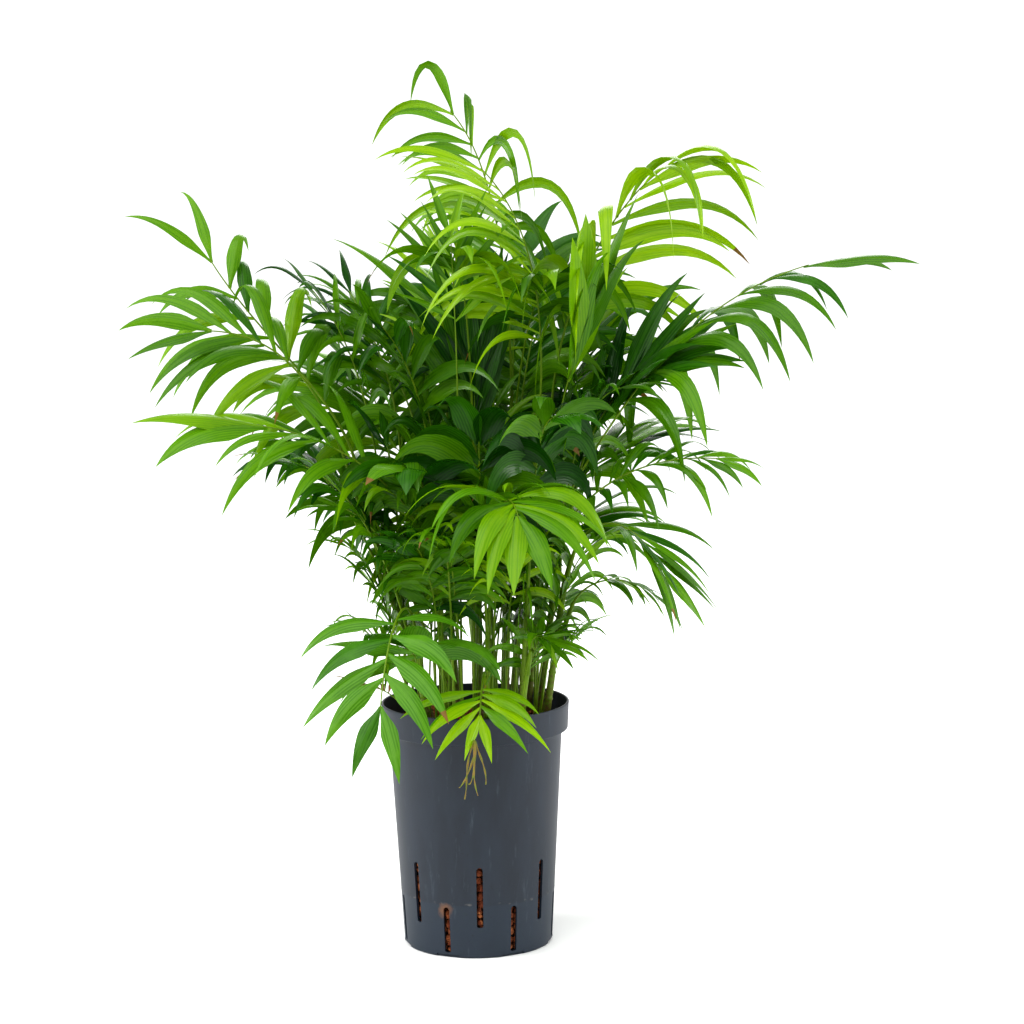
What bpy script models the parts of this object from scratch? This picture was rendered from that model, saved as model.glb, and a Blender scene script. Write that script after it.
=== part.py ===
"""A parlour palm in its plastic culture pot, modelled in metres with +Z up.

The origin is the middle of the pot's flat underside. +X is the plant's right-hand side and -Y its front.
The pot holds clay granules, and a clump of thin canes stands in them. Each cane carries one frond on its
tip and others on its side. A frond is a stalk that runs on as the rib of a thin drooping blade.
"""

from collections import namedtuple
from math import atan2, cos, pi, radians, sin

import bmesh
import bpy
from mathutils import Matrix, Vector
from mathutils.bvhtree import BVHTree
from mathutils.geometry import interpolate_bezier

MM = 0.001

# The pot
POT_HEIGHT = 195 * MM
POT_RIM_R = 75 * MM
POT_SHOULDER_R = 69 * MM
POT_FOOT_R = 59.3 * MM
POT_RIM_BAND = 22 * MM
POT_WALL = 2 * MM
POT_FLOOR = 2.5 * MM
POT_LIP_R = 1 * MM
POT_STEPS = 56

# Slits let water through the wall in two rows of seven, and the notches drain the foot.
SLITS_PER_ROW = 7
SLIT_WIDTH = 5 * MM
SLIT_DEPTH = 24 * MM
UPPER_SLIT = (25 * MM, 74 * MM)
LOWER_SLIT = (4 * MM, 41 * MM)
UPPER_SLIT_TURN = radians(-88)
LOWER_SLIT_TURN = radians(-62)
NOTCH_WIDTH = 20 * MM
NOTCH_HEIGHT = 2.5 * MM
NOTCH_DEPTH = 8 * MM

# The clay granules
GRANULE_TOP = 176 * MM
GAP = 0.3 * MM

# The canes
CANE_FOOT_R = 3.1 * MM
CANE_TIP_R = 2.3 * MM
CANE_FLARE = 1.35
CANE_FLARE_HEIGHT = 12 * MM
CANE_SECTIONS = 8

# The fronds
STALK_FOOT_R = 1.7 * MM
RIB_TIP_R = 0.9 * MM
STALK_CLEAR = 0.7 * MM
STALK_SECTIONS = 4
BLADE_STATIONS = (0.0, 0.1, 0.22, 0.36, 0.5, 0.64, 0.78, 0.9, 1.0)
CURVE_STEPS = 120
BLADE_REACH = 0.86
STEEPEST_PANEL = radians(52)
BLADE_CLEAR = 1.6 * MM
TRIM_STEP = 0.85
TRIM_ROUNDS = 60

Cane = namedtuple("Cane", "x y bearing lean length")

# Foot on the granules in mm, the bearing that it leans to and the lean from upright in degrees, length in mm
CANES = {
    "cane_left": Cane(-34, -4, 182, 16, 200),
    "cane_left_back": Cane(-14, 26, 130, 6, 150),
    "cane_left_front": Cane(-16, -26, 205, 7, 100),
    "cane_centre": Cane(4, 4, 95, 2, 170),
    "cane_front": Cane(10, -44, 280, 7, 80),
    "cane_centre_back": Cane(24, 34, 70, 5, 160),
    "cane_centre_right": Cane(30, -14, 330, 4, 150),
    "cane_right": Cane(50, 14, 15, 8, 170),
    "cane_right_front": Cane(55, -22, 335, 9, 120),
    "cane_far_left": Cane(-40, 34, 150, 11, 130),
    "cane_back": Cane(0, 58, 95, 9, 130),
    "cane_right_back": Cane(42, 48, 50, 10, 120),
    "cane_front_left": Cane(-36, -44, 225, 9, 70),
    "cane_front_right": Cane(36, -50, 300, 7, 100),
}

Frond = namedtuple(
    "Frond",
    "cane at tip lean up nod reach sway bare leaf spread close lift sag roll tint",
    defaults=(0, 0.45, 120, 65, 25, 15, 1.0, 0, "mid"),
)

# cane and at: the cane and how far up it the stalk starts. tip: the blade's end in mm.
# lean, up: the stalk starts at this lean from upright, and holds it for about this many mm.
# nod, reach: the blade ends at this angle above level, and comes to it over about this many mm.
# sway: how far the middle is pushed to the right of its heading, in mm.
# bare: the share of the length with no blade.
# leaf: the longest leaflet in mm. spread, close: its angle to the rib at the blade's foot and end.
# lift, sag: how far the leaflets rise from the rib and then droop.
# roll: how far the blade is turned on its rib, in degrees.
FRONDS = {
    "frond_upright_back": Frond(
        "cane_left_back", 1, (-5, 120, 600), 12, 105, 60, 120, 0, 0.42, 78, 55, 20, 10, 0.3, 0, "young"
    ),
    "frond_tallest": Frond(
        "cane_centre_back", 1, (-78, 80, 680), -4, 160, -15, 120, 0, 0.5, 88, 75, 35, 10, 1.9, 50, "cool"
    ),
    "frond_top_arching": Frond(
        "cane_centre_right", 1, (-72, -30, 648), -12, 180, 0, 130, 0, 0.42, 128, 72, 30, -22, 1.3, 0, "young"
    ),
    "frond_upper_left_fine": Frond(
        "cane_far_left", 1, (-125, 120, 560), -10, 130, 45, 120, 0, 0.45, 85, 65, 25, 15, 0.9, 0, "dark"
    ),
    "frond_upper_right": Frond(
        "cane_right", 1, (245, -30, 622), -20, 125, -28, 135, 0, 0.38, 140, 58, 20, -10, 1.5, -35, "young"
    ),
    "frond_right_long": Frond(
        "cane_centre_right", 0.85, (345, 10, 548), 30, 150, 0, 170, 0, 0.36, 112, 70, 25, -5, 2, 10, "dark"
    ),
    "frond_left_high": Frond(
        "cane_left", 1, (-228, 40, 612), 0, 80, 85, 100, 0, 0.15, 85, 65, 25, 15, 1.2, -45, "mid"
    ),
    "frond_left_middle": Frond(
        "cane_left", 0.85, (-272, -40, 482), 14, 120, -20, 130, -15, 0.45, 95, 65, 25, 15, 0.9, -45, "mid"
    ),
    "frond_left_broad": Frond(
        "cane_left_front", 1, (-225, -110, 420), 0, 110, -20, 90, 0, 0.55, 95, 65, 25, 15, 0.9, -30, "mid"
    ),
    "frond_left_fine": Frond(
        "cane_left", 0.55, (-195, -20, 430), 13, 60, 5, 60, 0, 0.35, 55, 65, 25, 15, 1.6, -20, "dark"
    ),
    "frond_left_small": Frond(
        "cane_left_front", 0.5, (-140, -50, 350), 20, 90, -30, 70, 0, 0.4, 62, 65, 25, 15, 1.1, -30, "mid"
    ),
    "frond_front_left_hanging": Frond(
        "cane_front_left", 1, (-70, -180, 170), 10, 75, -88, 115, 0, 0.38, 72, 75, 25, 15, 0.7, 0, "mid"
    ),
    "frond_front_low": Frond(
        "cane_front", 0.4, (3, -140, 168), 15, 50, -65, 60, 0, 0.45, 58, 75, 25, 15, 0.5, 0, "young"
    ),
    "frond_front_fan": Frond(
        "cane_front", 1, (45, -170, 300), 10, 150, -75, 100, 0, 0.52, 85, 75, 25, 15, 1, 0, "young"
    ),
    "frond_right_fine": Frond(
        "cane_centre_right", 0.6, (235, -60, 385), 15, 110, -15, 100, 0, 0.4, 65, 65, 25, 15, 1.6, 20, "mid"
    ),
    "frond_right_hanging": Frond(
        "cane_right_front", 1, (165, -95, 255), 15, 75, -75, 110, 0, 0.4, 92, 45, 25, 15, 0.8, 0, "mid"
    ),
    "frond_right_small": Frond(
        "cane_right_front", 0.6, (165, -20, 262), 5, 60, -50, 60, 0, 0.4, 50, 65, 25, 15, 1.2, 0, "mid"
    ),
    "frond_front_right_small": Frond(
        "cane_front_right", 0.5, (85, -95, 240), 5, 40, -25, 60, 0, 0.35, 60, 65, 25, 15, 0.7, 0, "mid"
    ),
    "frond_middle_left": Frond(
        "cane_left_front", 0.7, (-60, -130, 360), 5, 150, -60, 80, 0, 0.5, 100, 65, 25, 15, 1, 0, "dark"
    ),
    "frond_middle": Frond(
        "cane_front", 0.7, (15, -120, 400), 10, 160, -50, 85, 10, 0.5, 100, 65, 25, 15, 1, 0, "dark"
    ),
    "frond_middle_right": Frond(
        "cane_front_right", 1, (95, -120, 400), 5, 150, -45, 90, 0, 0.5, 95, 65, 25, 15, 1, 0, "dark"
    ),
    "frond_inner_arching": Frond(
        "cane_centre", 0.8, (-20, -90, 520), 0, 190, -50, 100, 0, 0.55, 110, 65, 25, 15, 1.2, 0, "young"
    ),
    "frond_inner_right": Frond(
        "cane_centre_back", 0.8, (85, -70, 500), 0, 180, -60, 100, 0, 0.55, 98, 65, 25, 15, 1.5, 0, "young"
    ),
    "frond_centre_spear": Frond(
        "cane_centre", 1, (5, 0, 545), 0, 110, 75, 110, 0, 0.35, 118, 30, 12, 15, 0.3, 0, "mid"
    ),
    "frond_right_folded": Frond(
        "cane_right", 0.85, (215, -10, 500), 10, 110, 25, 120, 0, 0.35, 115, 35, 12, 15, 0.4, 0, "dark"
    ),
    "frond_left_inner_fine": Frond(
        "cane_far_left", 0.9, (-165, 0, 560), 10, 110, 30, 110, 0, 0.4, 85, 65, 25, 15, 1, 0, "dark"
    ),
    "frond_left_inner": Frond(
        "cane_left_back", 0.8, (-110, -50, 530), 5, 110, 20, 110, 0, 0.4, 95, 65, 25, 15, 1, 0, "dark"
    ),
    "frond_left_under": Frond(
        "cane_front_left", 0.7, (-180, -60, 380), 5, 90, -40, 90, 0, 0.4, 80, 65, 25, 15, 1, 0, "dark"
    ),
    "frond_right_back_fine": Frond(
        "cane_right_back", 1, (160, 60, 470), 5, 120, 0, 100, 0, 0.4, 90, 65, 25, 15, 1, 0, "dark"
    ),
    "frond_right_inner_fine": Frond(
        "cane_right", 0.6, (165, -50, 440), 5, 120, -20, 100, 0, 0.4, 85, 65, 25, 15, 1, 0, "dark"
    ),
    "frond_back_high": Frond("cane_back", 1, (-30, 200, 520), 5, 120, -10, 120),
    "frond_back_right": Frond("cane_back", 0.7, (60, 230, 430), 8, 120, -20, 120),
    "frond_right_back_high": Frond("cane_right_back", 0.9, (140, 180, 500), 15, 120, -10, 120),
    "frond_right_back_low": Frond("cane_right_back", 0.6, (190, 120, 380), 10, 110, -20, 110, tint="dark"),
    "frond_left_back": Frond("cane_far_left", 0.7, (-120, 190, 440), 8, 120, -15, 120),
    "frond_left_back_low": Frond("cane_far_left", 0.4, (-180, 110, 370), 16, 110, -20, 100, tint="dark"),
    "frond_back_low": Frond("cane_back", 0.5, (-60, 200, 330), 15, 100, -40, 100),
    "frond_back_inner": Frond("cane_centre_back", 0.4, (55, 160, 585), 15, 150, 10, 120, tint="dark"),
    "frond_back_right_low": Frond("cane_right_back", 0.4, (120, 190, 300), 15, 90, -40, 90, leaf=100),
    "frond_back_right_high": Frond("cane_centre_back", 0.6, (110, 140, 560), 5, 140, 15, 120, leaf=100),
    "frond_left_back_high": Frond("cane_left_back", 0.6, (-140, 160, 520), 5, 130, 10, 120, leaf=100),
    "frond_back_middle": Frond("cane_centre", 0.6, (10, 230, 370), 10, 110, -30, 110, leaf=100),
}

# Colour and roughness of each material
FINISHES = {
    "pot": ((0.060, 0.082, 0.102), 0.55),
    "clay": ((0.140, 0.042, 0.020), 0.95),
    "cane": ((0.150, 0.230, 0.050), 0.60),
    "young": ((0.200, 0.420, 0.030), 0.45),
    "mid": ((0.070, 0.240, 0.020), 0.45),
    "dark": ((0.020, 0.110, 0.015), 0.40),
    "cool": ((0.040, 0.150, 0.050), 0.40),
}


def clear_scene():
    for obj in list(bpy.data.objects):
        bpy.data.objects.remove(obj, do_unlink=True)


def new_collection(name, hidden=False):
    collection = bpy.data.collections.new(name)
    collection.hide_render = hidden
    bpy.context.scene.collection.children.link(collection)
    return collection


def finish(obj, kind):
    """Gives the object a material of its own in one of the finishes."""
    colour, roughness = FINISHES[kind]
    material = bpy.data.materials.new(obj.name + "_" + kind)
    material.use_nodes = True
    shader = material.node_tree.nodes["Principled BSDF"]
    shader.inputs["Base Color"].default_value = (*colour, 1)
    shader.inputs["Roughness"].default_value = roughness
    shader.inputs["Metallic"].default_value = 0
    obj.data.materials.append(material)


def mesh_object(name, collection, points, faces):
    mesh = bpy.data.meshes.new(name)
    mesh.from_pydata([tuple(p) for p in points], [], faces)
    mesh.update()
    obj = bpy.data.objects.new(name, mesh)
    collection.objects.link(obj)
    return obj


def turned(name, collection, profile, steps):
    """A solid of revolution of (radius, height) pairs, from the axis out and down the outer side."""
    points = [(radius, 0, height) for radius, height in profile]
    mesh = bpy.data.meshes.new(name)
    mesh.from_pydata(points, [(i, i + 1) for i in range(len(points) - 1)], [])
    obj = bpy.data.objects.new(name, mesh)
    collection.objects.link(obj)
    screw = obj.modifiers.new("Turn", "SCREW")
    screw.axis = "Z"
    screw.angle = 2 * pi
    screw.steps = steps
    screw.render_steps = steps
    screw.use_merge_vertices = True
    screw.merge_threshold = 0.00005
    return obj


def box_ring(mesh, turn, count, radius, size, low):
    """Adds a ring of boxes to a bmesh, each set across the wall at this radius."""
    depth, width, height = size
    for k in range(count):
        angle = turn + 2 * pi * k / count
        place = Matrix.Rotation(angle, 4, "Z") @ Matrix.Translation((radius, 0, low + height / 2))
        bmesh.ops.create_cube(mesh, size=1, matrix=place @ Matrix.Diagonal((depth, width, height, 1)))


def wall_radius(height):
    """Outer radius of the plain wall at a height."""
    return POT_FOOT_R + (POT_SHOULDER_R - POT_FOOT_R) * height / (POT_HEIGHT - POT_RIM_BAND)


def make_pot(parts, cutters):
    shoulder = POT_HEIGHT - POT_RIM_BAND
    rim_foot_r = POT_RIM_R - 1.2 * MM
    profile = [
        (0, POT_FLOOR),
        (wall_radius(POT_FLOOR) - POT_WALL, POT_FLOOR),
        (POT_SHOULDER_R - POT_WALL, shoulder),
        (rim_foot_r - POT_WALL, shoulder + POT_WALL),
        (POT_RIM_R - POT_WALL, POT_HEIGHT - POT_LIP_R),
        (POT_RIM_R - POT_WALL / 2, POT_HEIGHT),
        (POT_RIM_R, POT_HEIGHT - POT_LIP_R),
        (rim_foot_r, shoulder),
        (POT_SHOULDER_R, shoulder - 1 * MM),
        (POT_FOOT_R + 0.3 * MM, 1 * MM),
        (POT_FOOT_R - 0.7 * MM, 0),
        (0, 0),
    ]
    pot = turned("pot", parts, profile, POT_STEPS)
    cuts = bmesh.new()
    for turn, (low, high) in ((UPPER_SLIT_TURN, UPPER_SLIT), (LOWER_SLIT_TURN, LOWER_SLIT)):
        middle_r = wall_radius((low + high) / 2) - POT_WALL / 2
        box_ring(cuts, turn, SLITS_PER_ROW, middle_r, (SLIT_DEPTH, SLIT_WIDTH, high - low), low)
    notch_size = (NOTCH_DEPTH, NOTCH_WIDTH, NOTCH_HEIGHT)
    notch_low = -1 * MM
    box_ring(cuts, LOWER_SLIT_TURN, SLITS_PER_ROW, POT_FOOT_R + 2 * MM, notch_size, notch_low)
    mesh = bpy.data.meshes.new("pot_cuts")
    cuts.to_mesh(mesh)
    cuts.free()
    cutter = bpy.data.objects.new("pot_cuts", mesh)
    cutter.hide_render = True
    cutter.display_type = "WIRE"
    cutters.objects.link(cutter)
    cut = pot.modifiers.new("Slits", "BOOLEAN")
    cut.operation = "DIFFERENCE"
    cut.solver = "EXACT"
    cut.object = cutter
    finish(pot, "pot")
    return pot


def make_granules(parts):
    low = POT_FLOOR + GAP
    edge = POT_WALL + GAP
    profile = [
        (0, GRANULE_TOP),
        (POT_RIM_R - edge - 2.4 * MM, GRANULE_TOP),
        (POT_SHOULDER_R - edge, POT_HEIGHT - POT_RIM_BAND),
        (wall_radius(low) - edge, low),
        (0, low),
    ]
    granules = turned("clay_granules", parts, profile, POT_STEPS)
    finish(granules, "clay")
    return granules


def heading(bearing, rise):
    """Unit vector at a bearing, in degrees from +X towards +Y, and an angle above level."""
    a, e = radians(bearing), radians(rise)
    return Vector((cos(e) * cos(a), cos(e) * sin(a), sin(e)))


def cane_point(cane, share):
    """The point at a share of the cane's length, and the cane's radius there."""
    foot = Vector((cane.x * MM, cane.y * MM, GRANULE_TOP + GAP))
    point = foot + heading(cane.bearing, 90 - cane.lean) * cane.length * MM * share
    return point, CANE_FOOT_R + (CANE_TIP_R - CANE_FOOT_R) * share


def make_cane(name, cane, parts):
    """A tapering limb with a flared foot, cut level where it leaves the granules."""
    foot, foot_r = cane_point(cane, 0)
    data = bpy.data.curves.new(name, "CURVE")
    data.dimensions = "3D"
    data.bevel_depth = foot_r
    data.bevel_resolution = 1
    data.use_fill_caps = True
    shares = [k / (CANE_SECTIONS - 1) for k in range(CANE_SECTIONS)]
    flare_share = CANE_FLARE_HEIGHT / (cane.length * MM)
    spots = [(foot, foot_r * CANE_FLARE), (foot + Vector((0, 0, 1 * MM)), foot_r * CANE_FLARE)]
    spots += [cane_point(cane, max(share, flare_share)) for share in shares[1:]]
    spline = data.splines.new("POLY")
    spline.points.add(len(spots) - 1)
    for point, (place, radius) in zip(spline.points, spots):
        point.co = (*place, 1)
        point.radius = radius / foot_r
    obj = bpy.data.objects.new(name, data)
    parts.objects.link(obj)
    finish(obj, "cane")
    return obj


def stalk_foot(frond):
    """A frond on a cane's tip stands on it. Any other starts beside the cane, on its own side."""
    cane = CANES[frond.cane]
    point, radius = cane_point(cane, frond.at)
    if frond.at == 1:
        tilt = radius * sin(radians(cane.lean)) + STALK_FOOT_R * sin(radians(abs(frond.lean)))
        return point + Vector((0, 0, GAP + tilt))
    out = Vector(frond.tip).xy * MM - point.xy
    out = out.normalized() * (radius + STALK_FOOT_R + STALK_CLEAR)
    return point + Vector((*out, 0))


class Rib:
    """The line of a frond's stalk and rib, evenly spaced, with its frame at any share of its length."""

    def __init__(self, frond):
        foot = stalk_foot(frond)
        tip = Vector(frond.tip) * MM
        bearing = atan2(tip.y - foot.y, tip.x - foot.x)
        self.right = Vector((sin(bearing), -cos(bearing), 0))
        towards = bearing * 180 / pi
        start = foot + heading(towards, 90 - frond.lean) * frond.up * MM
        end = tip - heading(towards, frond.nod) * frond.reach * MM
        push = self.right * frond.sway * MM
        points = interpolate_bezier(foot, start + push / 2, end + push, tip, CURVE_STEPS)
        lengths = [0.0]
        for a, b in zip(points, points[1:]):
            lengths.append(lengths[-1] + (b - a).length)
        self.points, self.lengths, self.length = points, lengths, lengths[-1]
        self.roll = radians(frond.roll)

    def at(self, share):
        """Point, direction, right-hand side and upper side at a share of the length, rolled."""
        want = min(max(share, 0), 1) * self.length
        k = next((i for i, s in enumerate(self.lengths[1:], 1) if s >= want), len(self.points) - 1)
        a, b = self.points[k - 1], self.points[k]
        along = (b - a).normalized()
        point = a.lerp(b, (want - self.lengths[k - 1]) / max(self.lengths[k] - self.lengths[k - 1], 1e-9))
        side = self.roll_about(along) @ (self.right - along * self.right.dot(along)).normalized()
        return point, along, side, side.cross(along)

    def roll_about(self, along):
        return Matrix.Rotation(self.roll, 3, along)


def blade_width(share):
    """Share of the full width along the blade: it widens fast from its foot and narrows to the tip."""
    rise = min(share / 0.36, 1)
    fall = max(share - 0.36, 0) / 0.64
    return (0.22 + 0.78 * rise * rise * (3 - 2 * rise)) * (1 - fall**1.8)


def blade_edge(frond, rib, share, side):
    """How far and which way the blade's edge lies from the rib, where its leaflets end after their droop."""
    _, along, right, upper = rib.at(frond.bare + (1 - frond.bare) * share)
    lift = radians(frond.lift)
    out = right * side * cos(lift) + upper * sin(lift)
    angle = radians(frond.spread + (frond.close - frond.spread) * share)
    leaflet = along * cos(angle) + out * sin(angle)
    leaflet = (leaflet + Vector((0, 0, -1)) * frond.sag * 0.45).normalized()
    outward, upward = leaflet.dot(right) * side, leaflet.dot(upper)
    reach = (outward**2 + upward**2) ** 0.5 * frond.leaf * MM * BLADE_REACH * blade_width(share)
    tilt = max(-STEEPEST_PANEL, min(STEEPEST_PANEL, atan2(upward, outward)))
    return (right * side * cos(tilt) + upper * sin(tilt)) * reach


def frond_faces(sections):
    """Skin of a loft through rings of six points, with a cap at each end.

    Both sides of a panel are split from its edge to the next ring's root, so that a warped one stays thin.
    """
    faces = [tuple(reversed(range(6)))]
    for k in range(sections - 1):
        a, b = 6 * k, 6 * (k + 1)
        for i in range(6):
            j = (i + 1) % 6
            if i in (2, 5):
                faces += [(a + i, a + j, b + i), (a + j, b + j, b + i)]
            else:
                faces += [(a + i, a + j, b + j), (a + i, b + j, b + i)]
    last = 6 * (sections - 1)
    faces.append(tuple(last + i for i in range(6)))
    return faces


def frond_points(frond, rib, widths):
    """Rings of six points: left, upper left of the rib, upper right, right, lower right, lower left."""
    shares = [frond.bare * k / STALK_SECTIONS for k in range(STALK_SECTIONS)]
    shares += [frond.bare + (1 - frond.bare) * station for station in BLADE_STATIONS]
    points = []
    for k, share in enumerate(shares):
        point, _, right, upper = rib.at(share)
        radius = STALK_FOOT_R + (RIB_TIP_R - STALK_FOOT_R) * share
        station = k - STALK_SECTIONS
        ring = []
        for side, turn in ((-1, 0), (-1, 1), (1, 1), (1, 0), (1, -1), (-1, -1)):
            offset = right * side * radius * (0.5 if turn else 1) + upper * turn * radius * 0.87
            ring.append(point + offset)
        if station >= 0:
            for index, side in ((0, -1), (3, 1)):
                edge = blade_edge(frond, rib, BLADE_STATIONS[station], side) * widths[side][station]
                if edge.length > 2 * radius:
                    ring[index] = point + edge
        points += ring
    return points


def blade_hits(points, faces, obstacles):
    """The (side, station) pairs whose edge or panel touches an obstacle or comes too near it."""
    hits = set()
    own = BVHTree.FromPolygons(points, faces)
    for face, _ in own.overlap(obstacles):
        ring = min(v // 6 for v in faces[face])
        column = (face - 1) // 2 % 6
        side = -1 if column in (5, 0) else 1
        hits |= {(side, ring - STALK_SECTIONS), (side, ring + 1 - STALK_SECTIONS)}
    for station in range(len(BLADE_STATIONS)):
        ring = 6 * (station + STALK_SECTIONS)
        for side, index, upper, lower in ((-1, 0, 1, 5), (1, 3, 2, 4)):
            root = (points[ring + upper] + points[ring + lower]) / 2
            for share in (0.25, 0.5, 0.75, 1):
                spot = root.lerp(points[ring + index], share)
                if obstacles.find_nearest(spot, BLADE_CLEAR)[0]:
                    hits.add((side, station))
    return {hit for hit in hits if hit[1] >= 0}


def trimmed_frond(frond, rib, obstacles):
    """The blade's outline, drawn in wherever it would meet another piece of the plant."""
    widths = {side: [1.0] * len(BLADE_STATIONS) for side in (-1, 1)}
    faces = frond_faces(STALK_SECTIONS + len(BLADE_STATIONS))
    for _ in range(TRIM_ROUNDS):
        points = frond_points(frond, rib, widths)
        hits = blade_hits(points, faces, obstacles)
        if not hits:
            break
        for side, station in hits:
            widths[side][station] *= TRIM_STEP
    return points, faces


def merged_tree(skins):
    """One search tree over several (points, faces) skins."""
    points, faces = [], []
    for skin_points, skin_faces in skins:
        faces += [tuple(i + len(points) for i in face) for face in skin_faces]
        points += skin_points
    return BVHTree.FromPolygons(points, faces)


def solid_skin(obj):
    """World points and faces of an object as its modifiers leave it."""
    evaluated = obj.evaluated_get(bpy.context.evaluated_depsgraph_get())
    mesh = evaluated.to_mesh()
    points = [obj.matrix_world @ v.co for v in mesh.vertices]
    faces = [tuple(p.vertices) for p in mesh.polygons]
    evaluated.to_mesh_clear()
    return points, faces


def make_fronds(parts, others):
    """Each blade keeps clear of the other pieces, of every rib and of the blades made before it."""
    fixed = [solid_skin(obj) for obj in others]
    ribs = {name: Rib(frond) for name, frond in FRONDS.items()}
    bare = {side: [0.0] * len(BLADE_STATIONS) for side in (-1, 1)}
    faces = frond_faces(STALK_SECTIONS + len(BLADE_STATIONS))
    skins = {name: (frond_points(frond, ribs[name], bare), faces) for name, frond in FRONDS.items()}
    for name, frond in FRONDS.items():
        around = [skin for other, skin in skins.items() if other != name]
        points, faces = trimmed_frond(frond, ribs[name], merged_tree(fixed + around))
        skins[name] = (points, faces)
        obj = mesh_object(name, parts, points, faces)
        finish(obj, frond.tint)


def main():
    clear_scene()
    parts = new_collection("parlour_palm")
    cutters = new_collection("cutters", hidden=True)
    others = [make_pot(parts, cutters), make_granules(parts)]
    others += [make_cane(name, cane, parts) for name, cane in CANES.items()]
    bpy.context.view_layer.update()
    make_fronds(parts, others)


main()
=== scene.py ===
from collections import namedtuple
from math import atan2, cos, degrees, pi, radians, sin, tan

import bmesh
import bpy
import numpy as np
from mathutils import Matrix, Vector
from mathutils.geometry import interpolate_bezier


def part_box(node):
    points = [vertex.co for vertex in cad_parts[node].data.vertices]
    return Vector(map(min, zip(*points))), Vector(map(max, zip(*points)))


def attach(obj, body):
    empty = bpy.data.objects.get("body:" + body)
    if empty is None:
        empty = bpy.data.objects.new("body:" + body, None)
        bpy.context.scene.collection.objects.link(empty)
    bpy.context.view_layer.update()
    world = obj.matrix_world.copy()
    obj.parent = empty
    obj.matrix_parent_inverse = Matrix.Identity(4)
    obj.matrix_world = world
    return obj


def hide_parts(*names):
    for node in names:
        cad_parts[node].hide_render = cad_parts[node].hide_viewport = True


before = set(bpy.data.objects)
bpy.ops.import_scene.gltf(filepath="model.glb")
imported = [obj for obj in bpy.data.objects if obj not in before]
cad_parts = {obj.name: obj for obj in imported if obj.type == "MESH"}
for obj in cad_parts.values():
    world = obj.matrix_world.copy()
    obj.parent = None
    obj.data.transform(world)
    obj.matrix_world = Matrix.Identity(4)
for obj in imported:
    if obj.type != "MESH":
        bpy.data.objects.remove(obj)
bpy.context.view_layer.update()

# The camera
# A short telephoto lens at the height of the crown, 2.25 m in front of the plant. It looks down a little,
# and it is rolled by less than a degree, so that the pot leans as it does in the photograph.
CAMERA_PLACE = (0.0315, -2.2473, 0.6391)
CAMERA_DIP = 7.42
CAMERA_ROLL = -0.78
CAMERA_LENS = 100.6
SENSOR_WIDTH = 36


def in_scene(name, data):
    """An object with this name and data, linked to the scene."""
    thing = bpy.data.objects.new(name, data)
    bpy.context.scene.collection.objects.link(thing)
    return thing


lens = bpy.data.cameras.new("camera")
lens.lens = CAMERA_LENS
lens.sensor_width = SENSOR_WIDTH
camera = in_scene("camera", lens)
look = Matrix.Rotation(radians(90 - CAMERA_DIP), 4, "X") @ Matrix.Rotation(radians(CAMERA_ROLL), 4, "Z")
camera.matrix_world = Matrix.Translation(CAMERA_PLACE) @ look
bpy.context.scene.camera = camera

# The studio
# A white floor under a white sky that the camera sees brighter than the plant does, a broad soft light from
# above and in front, and soft boxes at both sides and behind, which give the pot its pale flanks and shine
# through the leaves.
SKY_SEEN = 1.0
SKY_LIGHT = 0.62
KEY_POWER = 2.1
KEY_PLACE = (-0.9, -1.3, 2.6)
KEY_SPREAD = 75
MM = 0.001
FLOOR_HALF_WIDTH = 6.0
FLOOR_WHITE = "#f6f7f6"
FLOOR_PALEST = "#ffffff"
FLOOR_CLOUD = 25 * MM
SoftBox = namedtuple("SoftBox", "place size power")
SOFT_BOXES = {
    "box_left": SoftBox((-1.6, -0.2, 0.9), 0.7, 13),
    "box_right": SoftBox((1.6, -0.2, 0.8), 0.7, 11),
    "box_behind": SoftBox((0.2, 2.0, 1.5), 1.2, 14),
}
LIGHT_AIM = Vector((0, 0, 0.38))


def mesh_piece(name, points, faces, materials):
    """An object from rows of points and faces."""
    mesh = bpy.data.meshes.new(name)
    mesh.from_pydata(points, [], faces)
    for material in materials:
        mesh.materials.append(material)
    return in_scene(name, mesh)


def colour(code):
    """Linear RGBA of an sRGB hex code."""
    parts = [int(code[i:i + 2], 16) / 255 for i in (1, 3, 5)]
    return (*[p / 12.92 if p <= 0.04045 else ((p + 0.055) / 1.055) ** 2.4 for p in parts], 1)


def node(material, kind, sockets=None, **settings):
    """Adds a node. A socket takes a plain value or another node, which stands for its first output in use.

    A Mix node's sockets go by number: 0 is the share, 4 and 5 are two vectors, 6 and 7 are two colours.
    """
    made = material.node_tree.nodes.new("ShaderNode" + kind)
    for name, value in settings.items():
        setattr(made, name, value)
    for name, value in (sockets or {}).items():
        if isinstance(value, bpy.types.Node):
            value = next(output for output in value.outputs if output.enabled)
        if isinstance(value, bpy.types.NodeSocket):
            material.node_tree.links.new(value, made.inputs[name])
        else:
            made.inputs[name].default_value = value
    return made


def new_material(name):
    """A material with no nodes yet."""
    material = bpy.data.materials.new(name)
    material.use_nodes = True
    material.node_tree.nodes.clear()
    return material


def aimed(name, lamp, place):
    """A lamp at a place, pointed at the middle of the plant."""
    light = in_scene(name, lamp)
    light.location = place
    light.rotation_euler = (LIGHT_AIM - Vector(place)).to_track_quat("-Z", "Y").to_euler()
    return light


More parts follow.
